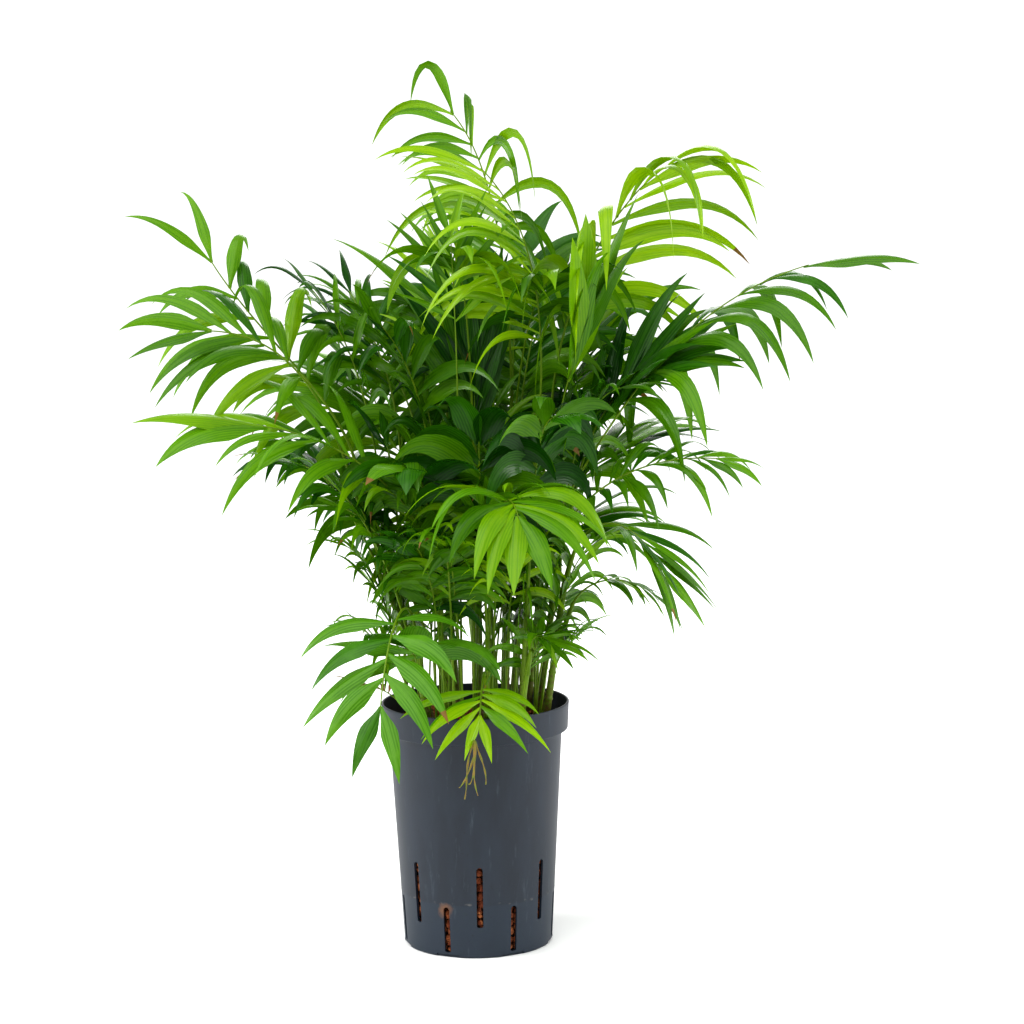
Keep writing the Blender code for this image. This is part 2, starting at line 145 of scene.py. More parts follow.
# Matt white paper: no shine, and a cloud in its white that is too faint to look like a pattern.
floor_paper = new_material("matt_white_paper")
floor_cloud = node(floor_paper, "TexNoise", {"Scale": 1 / FLOOR_CLOUD, "Detail": 3.0})
floor_tone = node(floor_paper, "Mix", {
    0: floor_cloud, 6: colour(FLOOR_WHITE), 7: colour(FLOOR_PALEST)}, data_type="RGBA")
floor_surface = node(floor_paper, "BsdfPrincipled", {
    "Base Color": floor_tone, "Roughness": 0.9, "Specular IOR Level": 0.2})
node(floor_paper, "OutputMaterial", {"Surface": floor_surface})

floor_corners = [
    (x * FLOOR_HALF_WIDTH, y * FLOOR_HALF_WIDTH, 0)
    for x, y in ((-1, -1), (1, -1), (1, 1), (-1, 1))
]
floor = mesh_piece("floor", floor_corners, [(0, 1, 2, 3)], [floor_paper])

sky = bpy.data.worlds.new("white_sky")
sky.use_nodes = True
seen = node(sky, "LightPath").outputs["Is Camera Ray"]
sky_power = node(sky, "MapRange", {"Value": seen, "To Min": SKY_LIGHT, "To Max": SKY_SEEN})
sky_white = sky.node_tree.nodes["Background"]
sky_white.inputs["Color"].default_value = (1, 1, 1, 1)
sky.node_tree.links.new(sky_power.outputs[0], sky_white.inputs["Strength"])
bpy.context.scene.world = sky
bpy.context.scene.view_settings.view_transform = "Standard"
bpy.context.scene.view_settings.look = "Medium High Contrast"

key_lamp = bpy.data.lights.new("key_light", "SUN")
key_lamp.energy = KEY_POWER
key_lamp.angle = radians(KEY_SPREAD)
aimed("key_light", key_lamp, KEY_PLACE)

for box_name, box in SOFT_BOXES.items():
    lamp = bpy.data.lights.new(box_name, "AREA")
    lamp.size = box.size
    lamp.energy = box.power
    aimed(box_name, lamp, box.place).visible_camera = False

# The pot
# A culture pot, injection-moulded in dark blue-grey polypropylene, with a rim band, a thin rolled lip and
# two rows of slits through its wall, so that the granules can draw water. Notches under its foot let the
# water run off.
POT_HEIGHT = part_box("pot")[1].z
RIM_R = 75 * MM
SHOULDER_R = 69 * MM
FOOT_R = 59.3 * MM
RIM_BAND = 22 * MM
WALL = 2 * MM
RIM_INSIDE_R = RIM_R - 1.2 * MM - WALL
POT_FLOOR = 2.5 * MM
WATER_LINE = 43 * MM
SLITS_PER_ROW = 7
SLIT_WIDTH = 5 * MM
SlitRow = namedtuple("SlitRow", "turn low high")
SLIT_ROWS = (SlitRow(-88, 25 * MM, 74 * MM), SlitRow(-62, 4 * MM, 41 * MM))
SLIT_FOOT_ROUND = 0.4
CUT_DEPTH = 12 * MM
NOTCH_SIZE = (8 * MM, 20 * MM, 5 * MM)
CORNER_R = 3 * MM
LIP_R = WALL / 2
STEP_R = 1.0 * MM
FOOT_ROUND_R = 1.8 * MM
WATER_RIDGE = 0.12 * MM
LATHE_STEPS = 192
SHARP_ANGLE = 35
STAINED_SLIT = -113.4


def wall_radius(height):
    """Outer radius of the plain wall at a height."""
    return FOOT_R + (SHOULDER_R - FOOT_R) * height / (POT_HEIGHT - RIM_BAND)


def arc(centre, radius, first, last, steps):
    """(radius, height) pairs round an arc of the profile, with its angles in degrees."""
    turns = [radians(first + (last - first) * k / steps) for k in range(steps + 1)]
    return [(centre[0] + radius * cos(a), centre[1] + radius * sin(a)) for a in turns]


def closed_piece(name, mesh):
    """An object from a closed bmesh, with its faces turned outwards."""
    bmesh.ops.recalc_face_normals(mesh, faces=mesh.faces)
    made = bpy.data.meshes.new(name)
    mesh.to_mesh(made)
    mesh.free()
    return in_scene(name, made)


def lathe(name, profile, steps):
    """A closed turned piece. The profile runs from the axis up the inside, over the lip and down outside."""
    mesh = bmesh.new()
    spun = []
    for radius, height in profile:
        if radius == 0:
            spun.append([mesh.verts.new((0, 0, height))] * steps)
            continue
        turns = [2 * pi * k / steps for k in range(steps)]
        spun.append([mesh.verts.new((radius * cos(a), radius * sin(a), height)) for a in turns])
    for lower, upper in zip(spun, spun[1:]):
        for k in range(steps):
            j = (k + 1) % steps
            corners = list(dict.fromkeys([lower[k], upper[k], upper[j], lower[j]]))
            mesh.faces.new(corners)
    return closed_piece(name, mesh)


def slot_cutter(mesh, turn, low, high, radius):
    """Adds a bar with a round head and foot, which cuts one slit through the wall."""
    half = SLIT_WIDTH / 2
    place = Matrix.Rotation(turn, 4, "Z")
    outline = [(half * cos(a), high - half + half * sin(a)) for a in np.linspace(0, pi, 9)]
    foot = half * SLIT_FOOT_ROUND
    outline += [(half * cos(a), low + foot + foot * sin(a)) for a in np.linspace(pi, 2 * pi, 7)]
    inner, outer = (
        [mesh.verts.new(place @ Vector((radius + depth, across, height))) for across, height in outline]
        for depth in (-CUT_DEPTH, CUT_DEPTH)
    )
    mesh.faces.new(inner)
    mesh.faces.new(outer)
    for k in range(len(outline)):
        j = (k + 1) % len(outline)
        mesh.faces.new((inner[k], inner[j], outer[j], outer[k]))


# Up the inside: the floor with its rounded corner, the wall, the rim band, and over the lip.
shoulder = POT_HEIGHT - RIM_BAND
corner = (wall_radius(0) - WALL - CORNER_R, POT_FLOOR + CORNER_R)
pot_profile = [(0, POT_FLOOR), (wall_radius(POT_FLOOR) - WALL - CORNER_R, POT_FLOOR)]
pot_profile += arc(corner, CORNER_R, -90, 0, 4)
pot_profile += [(wall_radius(h) - WALL, h) for h in np.linspace(12 * MM, shoulder - 4 * MM, 14)]
pot_profile += [(SHOULDER_R - WALL, shoulder), (RIM_INSIDE_R, shoulder + WALL)]
pot_profile += [(RIM_R - WALL, POT_HEIGHT - LIP_R - 0.5 * MM)]
pot_profile += arc((RIM_R - LIP_R, POT_HEIGHT - LIP_R), LIP_R, 180, 0, 8)
# Down the outside: the band and the step under it, the wall with a ridge of lime at the water line, the foot.
pot_profile += [(RIM_R - 0.25 * MM, POT_HEIGHT - 4 * MM), (RIM_R - 1.1 * MM, shoulder + 1.2 * MM)]
pot_profile += arc((RIM_R - 2.1 * MM, shoulder + STEP_R), STEP_R, 0, -80, 4)
pot_profile += [(SHOULDER_R + 0.4 * MM, shoulder - 0.3 * MM), (SHOULDER_R - 0.05 * MM, shoulder - 1.2 * MM)]
pot_profile += [(wall_radius(h), h) for h in np.linspace(shoulder - 6 * MM, WATER_LINE + 1.2 * MM, 14)]
pot_profile += [(wall_radius(WATER_LINE) + WATER_RIDGE, WATER_LINE)]
pot_profile += [(wall_radius(h), h) for h in np.linspace(WATER_LINE - 1.2 * MM, 4 * MM, 6)]
pot_profile += arc((FOOT_R - 1.5 * MM, FOOT_ROUND_R), FOOT_ROUND_R, 0, -90, 5)
pot_profile += [(FOOT_R - 7 * MM, 0), (FOOT_R - 9 * MM, 0.8 * MM), (0, 0.8 * MM)]
pot = lathe("pot_moulded", pot_profile, LATHE_STEPS)

cuts = bmesh.new()
for row in SLIT_ROWS:
    for k in range(SLITS_PER_ROW):
        slit_turn = radians(row.turn + 360 * k / SLITS_PER_ROW)
        slot_cutter(cuts, slit_turn, row.low, row.high, wall_radius((row.low + row.high) / 2))
for k in range(SLITS_PER_ROW):
    notch_turn = Matrix.Rotation(radians(SLIT_ROWS[1].turn + 360 * k / SLITS_PER_ROW), 4, "Z")
    notch_place = notch_turn @ Matrix.Translation((FOOT_R + 2 * MM, 0, 0))
    bmesh.ops.create_cube(cuts, size=1, matrix=notch_place @ Matrix.Diagonal((*NOTCH_SIZE, 1)))
cutter = closed_piece("pot_cutter", cuts)
slits = pot.modifiers.new("Slits", "BOOLEAN")
slits.object = cutter
slits.solver = "EXACT"
graph = bpy.context.evaluated_depsgraph_get()
pot.data = bpy.data.meshes.new_from_object(pot.evaluated_get(graph))
pot.modifiers.clear()
bpy.data.objects.remove(cutter)
pot.data.shade_smooth()
pot.data.set_sharp_from_angle(angle=radians(SHARP_ANGLE))

# Polypropylene with carbon and blue pigment, matt from a sparked mould: broad dull highlights, cloudy
# streaks and pale scuffs down the wall, dark specks, lime along the water line and a brown bloom on the head
# of one slit, where water has dried. The grain, under 0.1 mm on the pot, is drawn 0.35 mm wide.
POT_COLOUR = "#19212c"
POT_PALE = "#222b37"
POT_WET = "#1f2c3a"
LIME_COLOUR = "#7d7a74"
STAIN_COLOUR = "#6b4a34"
SCUFF_COLOUR = "#4c5862"
SPECK_COLOUR = "#171c22"
MOULD_GRAIN = 0.35 * MM
CLOUD_WIDTH = 18 * MM
CLOUD_RUN = (1, 1, 0.25)
SCUFF_WIDTH = 5 * MM
SCUFF_RUN = (1, 1, 0.12)
SPECK_SPACING = 2.5 * MM
LIME_SPACING = 5 * MM
STAIN_SIZE = (8 * MM, 4 * MM)
STAIN_EDGE = 4 * MM
STAIN_RAGGED = 0.004
stain_turn = radians(STAINED_SLIT)
stain_r = wall_radius(SLIT_ROWS[1].high)
STAIN_PLACE = (stain_r * cos(stain_turn), stain_r * sin(stain_turn), SLIT_ROWS[1].high - 1 * MM)

pot_plastic = new_material("moulded_grey_polypropylene")
place = node(pot_plastic, "TexCoord").outputs["Object"]
cloud_run = node(pot_plastic, "Mapping", {"Vector": place, "Scale": CLOUD_RUN})
cloud = node(pot_plastic, "TexNoise", {
    "Vector": cloud_run, "Scale": 1 / CLOUD_WIDTH, "Detail": 4.0, "Roughness": 0.6})
cloud_share = node(pot_plastic, "MapRange", {"Value": cloud, "From Min": 0.35, "From Max": 0.7})
cloudy = node(pot_plastic, "Mix", {
    0: cloud_share, 6: colour(POT_COLOUR), 7: colour(POT_PALE)}, data_type="RGBA")
height = node(pot_plastic, "SeparateXYZ", {0: place}).outputs["Z"]
below = node(pot_plastic, "MapRange", {
    "Value": height, "From Min": WATER_LINE + 0.4 * MM, "From Max": WATER_LINE - 0.6 * MM, "To Max": 0.55})
wet = node(pot_plastic, "Mix", {0: below, 6: cloudy, 7: colour(POT_WET)}, data_type="RGBA")
above_line = node(pot_plastic, "Math", {0: height, 1: WATER_LINE + 0.8 * MM}, operation="SUBTRACT")
from_line = node(pot_plastic, "Math", {0: above_line}, operation="ABSOLUTE")
lime_band = node(pot_plastic, "MapRange", {
    "Value": from_line, "From Min": 1.6 * MM, "From Max": 0.2 * MM})
lime = node(pot_plastic, "TexNoise", {"Vector": place, "Scale": 1 / LIME_SPACING, "Detail": 5.0})
lime_flecks = node(pot_plastic, "MapRange", {
    "Value": lime, "From Min": 0.55, "From Max": 0.72, "To Max": 0.5})
lime_share = node(pot_plastic, "Math", {0: lime_band, 1: lime_flecks}, operation="MULTIPLY")
limed = node(pot_plastic, "Mix", {0: lime_share, 6: wet, 7: colour(LIME_COLOUR)}, data_type="RGBA")
ragged = node(pot_plastic, "TexNoise", {"Vector": place, "Scale": 1 / STAIN_EDGE, "Detail": 4.0})
ragged_place = node(pot_plastic, "Mix", {
    0: STAIN_RAGGED, 4: place, 5: ragged.outputs["Color"]}, data_type="VECTOR")
stain_far = node(pot_plastic, "VectorMath", {0: ragged_place, 1: STAIN_PLACE}, operation="DISTANCE")
stain_share = node(pot_plastic, "MapRange", {
    "Value": stain_far, "From Min": STAIN_SIZE[0], "From Max": STAIN_SIZE[1], "To Max": 0.9})
stained = node(pot_plastic, "Mix", {0: stain_share, 6: limed, 7: colour(STAIN_COLOUR)}, data_type="RGBA")
scuff_run = node(pot_plastic, "Mapping", {"Vector": place, "Scale": SCUFF_RUN})
scuff = node(pot_plastic, "TexNoise", {
    "Vector": scuff_run, "Scale": 1 / SCUFF_WIDTH, "Detail": 6.0, "Roughness": 0.7})
scuff_share = node(pot_plastic, "MapRange", {
    "Value": scuff, "From Min": 0.6, "From Max": 0.78, "To Max": 0.5})
scuffed = node(pot_plastic, "Mix", {0: scuff_share, 6: stained, 7: colour(SCUFF_COLOUR)}, data_type="RGBA")
specks = node(pot_plastic, "TexNoise", {"Vector": place, "Scale": 1 / SPECK_SPACING, "Detail": 2.0})
speck_share = node(pot_plastic, "MapRange", {
    "Value": specks, "From Min": 0.68, "From Max": 0.74, "To Max": 0.6})
specked = node(pot_plastic, "Mix", {0: speck_share, 6: scuffed, 7: colour(SPECK_COLOUR)}, data_type="RGBA")
grain = node(pot_plastic, "TexNoise", {"Vector": place, "Scale": 1 / MOULD_GRAIN, "Detail": 2.0})
pot_bump = node(pot_plastic, "Bump", {"Strength": 0.25, "Distance": 0.05 * MM, "Height": grain})
pot_rough = node(pot_plastic, "MapRange", {"Value": cloud, "To Min": 0.42, "To Max": 0.58})
pot_surface = node(pot_plastic, "BsdfPrincipled", {
    "Base Color": specked, "Roughness": pot_rough, "IOR": 1.49, "Specular IOR Level": 0.45,
    "Normal": pot_bump})
node(pot_plastic, "OutputMaterial", {"Surface": pot_surface})
pot.data.materials.clear()
pot.data.materials.append(pot_plastic)
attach(pot, "root")
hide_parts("pot")

# The clay granules
# Clay, blown and fired in a kiln: round balls with a thin skin fill the pot, and crushed chips lie on top.
# They are loose, and the wall and each other hold them. A core of the same clay stands for the ones that no
# eye reaches.
GRANULE_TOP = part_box("clay_granules")[1].z
CHIP_SIZE = (3.4 * MM, 5.4 * MM)
CHIP_SPACING = 6.4 * MM
CHIP_DRIFT_MM = 1.2
CHIP_RISE_MM = (-1.4, 1.0)
EDGE_CHIP_SIZE = 2.9 * MM
EDGE_CHIP_INSET = 2.6 * MM
EDGE_CHIP_RISE_MM = 1.5
BALL_SIZE = (2.6 * MM, 4.2 * MM)
BALL_DRIFT_MM = 1.6
CORE_DEPTH = 9 * MM
CORE_SIDES = 64
DENTS = 4
DENT_START = 0.75
DENT_DEPTH = 0.85
LUMPS = 0.12
CHIP_ROUGH = 0.35
BALL_ROUGH = 0.12
ChipLayer = namedtuple("ChipLayer", "number depth inset")
CHIP_LAYERS = (ChipLayer(0, 6.5 * MM, 9 * MM), ChipLayer(1, -0.3 * MM, 3.5 * MM))


def unit_rows(rows):
    """Rows of numbers, each scaled to length 1."""
    return rows / np.linalg.norm(rows, axis=1)[:, None]


def pebble_shape(subdivisions):
    """Points and triangles of a unit ball."""
    ball = bmesh.new()
    bmesh.ops.create_icosphere(ball, subdivisions=subdivisions, radius=1)
    points = np.array([v.co for v in ball.verts])
    faces = np.array([[v.index for v in f.verts] for f in ball.faces])
    ball.free()
    return points, faces


def pebbles(name, places, sizes, rng, rough, subdivisions, material):
    """Joined pebbles, each a ball of its own size, squashed, dented and turned its own way."""
    ball, triangles = pebble_shape(subdivisions)
    points = []
    faces = []
    for spot, size in zip(places, sizes):
        dents = unit_rows(rng.normal(size=(DENTS, 3)))
        cut = np.clip(ball @ dents.T - (DENT_START - rough), 0, None).sum(axis=1)
        lumps = 1 + rough * rng.normal(0, LUMPS, len(ball))
        shaped = ball * (1 - DENT_DEPTH * cut)[:, None] * lumps[:, None]
        shaped = shaped * rng.uniform(1 - rough, 1, 3)
        turn, _ = np.linalg.qr(rng.normal(size=(3, 3)))
        if np.linalg.det(turn) < 0:
            turn[:, 0] = -turn[:, 0]
        faces.append(triangles + len(ball) * len(points))
        points.append(shaped @ turn.T * size + spot)
    return mesh_piece(name, np.concatenate(points).tolist(), np.concatenate(faces).tolist(), [material])


# Fired clay: a dry, open-pored, red-brown body with paler and darker stones. Nothing on it shines.
CLAY_RED = "#6e3420"
CLAY_PALE = "#b8754a"
PORE_COLOUR = "#3a1a12"
STONE_SIZE = 7 * MM
PORE_SPACING = 1.2 * MM

fired_clay = new_material("fired_red_clay")
clay_place = node(fired_clay, "TexCoord").outputs["Object"]
stone = node(fired_clay, "TexVoronoi", {"Vector": clay_place, "Scale": 1 / STONE_SIZE})
stone_share = node(fired_clay, "SeparateColor", {0: stone.outputs["Color"]})
stones = node(fired_clay, "Mix", {
    0: stone_share, 6: colour(CLAY_RED), 7: colour(CLAY_PALE)}, data_type="RGBA")
pores = node(fired_clay, "TexNoise", {
    "Vector": clay_place, "Scale": 1 / PORE_SPACING, "Detail": 4.0, "Roughness": 0.7})
pore_share = node(fired_clay, "MapRange", {
    "Value": pores, "From Min": 0.35, "From Max": 0.55, "To Min": 0.75, "To Max": 0.0})
pored = node(fired_clay, "Mix", {0: pore_share, 6: stones, 7: colour(PORE_COLOUR)}, data_type="RGBA")
clay_bump = node(fired_clay, "Bump", {"Strength": 0.7, "Distance": 0.3 * MM, "Height": pores})
clay_surface = node(fired_clay, "BsdfPrincipled", {
    "Base Color": pored, "Roughness": 0.92, "IOR": 1.5, "Specular IOR Level": 0.25, "Normal": clay_bump})
node(fired_clay, "OutputMaterial", {"Surface": clay_surface})

chip_rng = np.random.default_rng(11)
chip_places = []
chip_edge = RIM_INSIDE_R - EDGE_CHIP_INSET
rings = int(chip_edge / CHIP_SPACING)
for layer in CHIP_LAYERS:
    edge = chip_edge - layer.inset
    for ring in range(rings + 1):
        ring_r = edge * ring / rings
        around = max(1, int(2 * pi * ring_r / CHIP_SPACING))
        for k in range(around):
            angle = 2 * pi * (k + chip_rng.uniform(0, 0.7) + 0.5 * layer.number) / around
            drift = chip_rng.uniform(-CHIP_DRIFT_MM, CHIP_DRIFT_MM) * MM
            reach = min(ring_r + drift, edge)
            rise = chip_rng.uniform(*CHIP_RISE_MM) * MM
            chip_places.append((reach * cos(angle), reach * sin(angle), GRANULE_TOP - layer.depth + rise))
chip_sizes = chip_rng.uniform(*CHIP_SIZE, len(chip_places)).tolist()
edge_chips = int(2 * pi * chip_edge / (EDGE_CHIP_SIZE * 1.7))
for k in range(edge_chips):
    angle = 2 * pi * (k + chip_rng.uniform(-0.2, 0.2)) / edge_chips
    rise = chip_rng.uniform(0, EDGE_CHIP_RISE_MM) * MM
    chip_places.append((chip_edge * cos(angle), chip_edge * sin(angle), GRANULE_TOP + rise))
    chip_sizes.append(EDGE_CHIP_SIZE * chip_rng.uniform(0.8, 1))
chips = pebbles("clay_chips", chip_places, chip_sizes, chip_rng, CHIP_ROUGH, 2, fired_clay)
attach(chips, "root")
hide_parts("clay_granules")

ball_rng = np.random.default_rng(12)
ball_places = []
ball_sizes = []
for row in SLIT_ROWS:
    for k in range(SLITS_PER_ROW):
        slit_turn = radians(row.turn + 360 * k / SLITS_PER_ROW)
        rise = max(row.low - 2 * MM, POT_FLOOR + 3 * MM)
        while rise < row.high + 4 * MM:
            size = ball_rng.uniform(*BALL_SIZE)
            reach = wall_radius(rise) - WALL - size - 0.3 * MM
            aside = slit_turn + ball_rng.uniform(-1, 1) * BALL_DRIFT_MM * MM / reach
            ball_places.append((reach * cos(aside), reach * sin(aside), rise))
            ball_sizes.append(size)
            for side in (-1, 1):
                beside = aside + side * (size * 1.9) / reach
                lift = rise + ball_rng.uniform(-2, 2) * MM
                ball_places.append((reach * cos(beside), reach * sin(beside), lift))
                ball_sizes.append(size * 0.9)
            rise += size * ball_rng.uniform(1.55, 1.9)
balls = pebbles("clay_balls", ball_places, ball_sizes, ball_rng, BALL_ROUGH, 3, fired_clay)
balls.data.shade_smooth()
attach(balls, "root")

core_profile = [(0, POT_FLOOR + 1 * MM), (wall_radius(0) - WALL - CORE_DEPTH, POT_FLOOR + 1 * MM)]
core_profile += [(SHOULDER_R - WALL - CORE_DEPTH * 0.6, GRANULE_TOP - 12 * MM)]
core_profile += [(SHOULDER_R - WALL - 2 * MM, GRANULE_TOP - 9 * MM), (0, GRANULE_TOP - 8 * MM)]
core = lathe("clay_core", core_profile, CORE_SIDES)
core.data.materials.append(fired_clay)
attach(core, "root")

# The canes
# Each is a fibrous green stem, thinner than a pencil, which grows from the foot of the clump. A scar rings
# it where each old leaf was shed, every 13 to 24 mm, and the foot is swollen where it enters the granules.
# Positions and lengths are in mm, the bearing and the lean from upright in degrees.
Cane = namedtuple("Cane", "x y bearing lean length")
CANES = {
    "cane_left": Cane(-34, -4, 182, 16, 200),
    "cane_left_back": Cane(-14, 26, 130, 6, 150),
    "cane_left_front": Cane(-16, -26, 205, 7, 100),
    "cane_centre": Cane(4, 4, 95, 2, 170),
    "cane_front": Cane(10, -44, 280, 7, 80),
    "cane_centre_back": Cane(24, 34, 70, 5, 160),
    "cane_centre_right": Cane(30, -14, 330, 4, 150),
    "cane_right": Cane(50, 14, 15, 8, 170),
    "cane_right_front": Cane(55, -22, 335, 9, 120),
    "cane_far_left": Cane(-40, 34, 150, 11, 130),
    "cane_back": Cane(0, 58, 95, 9, 130),
    "cane_right_back": Cane(42, 48, 50, 10, 120),
    "cane_front_left": Cane(-36, -44, 225, 9, 70),
    "cane_front_right": Cane(36, -50, 300, 7, 100),
}
CANE_FOOT_R = 3.1 * MM
CANE_TIP_R = 2.3 * MM
CANE_FLARE = 1.35
CANE_FLARE_HEIGHT = 12 * MM
FIRST_SCAR_MM = (4, 12)
SCAR_SPACING = (13 * MM, 24 * MM)
SCAR_HEIGHT = 0.45 * MM
SCAR_WIDTH = 1.1 * MM
SCAR_DIP = 0.2 * MM
CANE_END_ROUND = (0.95, 0.8, 0.5)
CANE_SIDES = 16
CANE_ROW_STEP = 0.8 * MM
GAP = 0.3 * MM


class Gather:
    """Points, faces, map places in mm and material numbers of one mesh that is being put together."""

    def __init__(self):
        """Starts with nothing in it."""
        self.points = []
        self.faces = []
        self.places = []
        self.numbers = []

    def add(self, points, faces, places, numbers):
        """Takes in one more part, whose faces number its own points from 0."""
        first = len(self.points)
        self.points += [tuple(p) for p in points]
        self.places += [tuple(p) for p in places]
        self.faces += [tuple(first + i for i in face) for face in faces]
        self.numbers += numbers

    def made(self, name, materials):
        """The object of all that was taken in."""
        thing = mesh_piece(name, self.points, self.faces, materials)
        mesh = thing.data
        layer = mesh.uv_layers.new(name="surface_mm")
        corners = np.empty(len(mesh.loops), np.int32)
        mesh.loops.foreach_get("vertex_index", corners)
        layer.data.foreach_set("uv", np.array(self.places, np.float32)[corners].ravel())
        mesh.polygons.foreach_set("material_index", self.numbers)
        mesh.shade_smooth()
        mesh.update()
        return thing


def add_tube(gather, points, rights, uppers, radii, sides, depth=1.0):
    """A round tube of the first material, closed at both ends. depth flattens it from above and below."""
    count = len(points)
    turns = np.arange(sides) * 2 * pi / sides
    ring = np.cos(turns)[None, :, None] * rights[:, None]
    ring = ring + depth * np.sin(turns)[None, :, None] * uppers[:, None]
    skin = (points[:, None] + ring * radii[:, None, None]).reshape(-1, 3)
    run = np.concatenate([[0], np.cumsum(np.linalg.norm(np.diff(points, axis=0), axis=1))]) / MM
    places = [(turns[k] * radii[0] / MM, run[i]) for i in range(count) for k in range(sides)]
    faces = []
    for i in range(count - 1):
        a = i * sides
        b = a + sides
        faces += [(a + k, a + (k + 1) % sides, b + (k + 1) % sides, b + k) for k in range(sides)]
    faces += [tuple(reversed(range(sides))), tuple((count - 1) * sides + k for k in range(sides))]
    gather.add(skin, faces, places, [0] * len(faces))


def heading(bearing, rise):
    """Unit vector at a bearing, from +X towards +Y, and an angle above level, both in degrees."""
    turn = radians(bearing)
    climb = radians(rise)
    return Vector((cos(climb) * cos(turn), cos(climb) * sin(turn), sin(climb)))


def cane_point(cane, share):
    """The point at a share of the cane's length, and the cane's radius there."""
    foot = Vector((cane.x * MM, cane.y * MM, GRANULE_TOP + GAP))
    point = foot + heading(cane.bearing, 90 - cane.lean) * cane.length * MM * share
    return point, CANE_FOOT_R + (CANE_TIP_R - CANE_FOOT_R) * share


def crosswise(along):
    """Two unit vectors square to a direction and to each other."""
    right = Vector(along).cross(Vector((0.17, 0.98, 0.05))).normalized()
    return right, right.cross(Vector(along)).normalized()


# Green bark: smooth and waxy, striped along with fibres, and with brown corky flecks near the foot. The
# wave texture draws a band a millimetre at the scale BARK_WAVE. Sizes on the map are in mm, as it is.
BARK_DARK = "#2c4a06"
BARK_PALE = "#74901c"
CORK_COLOUR = "#5a4428"
BARK_WAVE = 0.314
BARK_FIBRE = 0.8
FLECK_SPACING = 3 * MM
CORK_HEIGHT = 90 * MM

cane_bark = new_material("green_cane_bark")
bark_map = node(cane_bark, "UVMap", uv_map="surface_mm")
bark_place = node(cane_bark, "TexCoord").outputs["Object"]
bark_fleck = node(cane_bark, "TexNoise", {
    "Vector": bark_place, "Scale": 1 / FLECK_SPACING, "Detail": 5.0, "Roughness": 0.65})
bark_height = node(cane_bark, "SeparateXYZ", {0: bark_place}).outputs["Z"]
bark_low = node(cane_bark, "MapRange", {
    "Value": bark_height, "From Min": GRANULE_TOP, "From Max": GRANULE_TOP + CORK_HEIGHT,
    "To Min": 0.30, "To Max": -0.25})
bark_cork = node(cane_bark, "Math", {0: bark_fleck, 1: bark_low}, operation="ADD")
cork_share = node(cane_bark, "MapRange", {
    "Value": bark_cork, "From Min": 0.52, "From Max": 0.78, "To Max": 0.9})
bark_fibre = node(cane_bark, "TexWave", {
    "Vector": bark_map, "Scale": BARK_WAVE / BARK_FIBRE, "Distortion": 1.5, "Detail": 2.0},
    bands_direction="X").outputs["Fac"]
bark_green = node(cane_bark, "Mix", {
    0: bark_fibre, 6: colour(BARK_DARK), 7: colour(BARK_PALE)}, data_type="RGBA")
bark_tone = node(cane_bark, "Mix", {0: cork_share, 6: bark_green, 7: colour(CORK_COLOUR)}, data_type="RGBA")
bark_bump = node(cane_bark, "Bump", {"Strength": 0.4, "Distance": 0.1 * MM, "Height": bark_fibre})
bark_surface = node(cane_bark, "BsdfPrincipled", {
    "Base Color": bark_tone, "Roughness": 0.5, "IOR": 1.45, "Specular IOR Level": 0.3,
    "Normal": bark_bump})
node(cane_bark, "OutputMaterial", {"Surface": bark_surface})

cane_rng = np.random.default_rng(21)
for cane_name, cane in CANES.items():
    length = cane.length * MM
    scars = [cane_rng.uniform(*FIRST_SCAR_MM) * MM]
    while scars[-1] < length:
        scars.append(scars[-1] + cane_rng.uniform(*SCAR_SPACING))
    runs = np.linspace(0, length, int(length / CANE_ROW_STEP))
    points = np.array([cane_point(cane, run / length)[0] for run in runs])
    radii = np.array([cane_point(cane, run / length)[1] for run in runs])
    radii *= 1 + (CANE_FLARE - 1) * np.clip(1 - runs / CANE_FLARE_HEIGHT, 0, 1) ** 1.5
    for scar in scars:
        radii += SCAR_HEIGHT * np.exp(-((runs - scar) / SCAR_WIDTH) ** 2)
        radii -= SCAR_DIP * np.exp(-((runs - scar - 2.2 * SCAR_WIDTH) / (1.5 * SCAR_WIDTH)) ** 2)
    radii[-len(CANE_END_ROUND):] *= CANE_END_ROUND
    right, upper = crosswise(heading(cane.bearing, 90 - cane.lean))
    rights = np.tile(right, (len(runs), 1))
    uppers = np.tile(upper, (len(runs), 1))
    bark = Gather()
    add_tube(bark, points, rights, uppers, radii, CANE_SIDES)
    stem = bark.made(cane_name + "_bark", [cane_bark])
    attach(stem, "root")
    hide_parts(cane_name)

# The fronds
# A frond is a stalk that runs on as a rib, with leaflets in a row down each side and a pair at its tip. It
# grows from its cane as a sheath. The leaflets are thin and folded along the middle, and bend down to
# drawn-out points. Lengths below are in mm and angles in degrees.
Frond = namedtuple(
    "Frond",
    "cane at tip lean up nod reach sway bare leaf spread close lift sag roll tint pairs wide folds late "
    "end_long end_wide end_sag",
    defaults=(0, 0.45, 120, 65, 25, 15, 1.0, 0, "mid", 10, 15, 0, 0, 1, 1.3, 0.5),
)
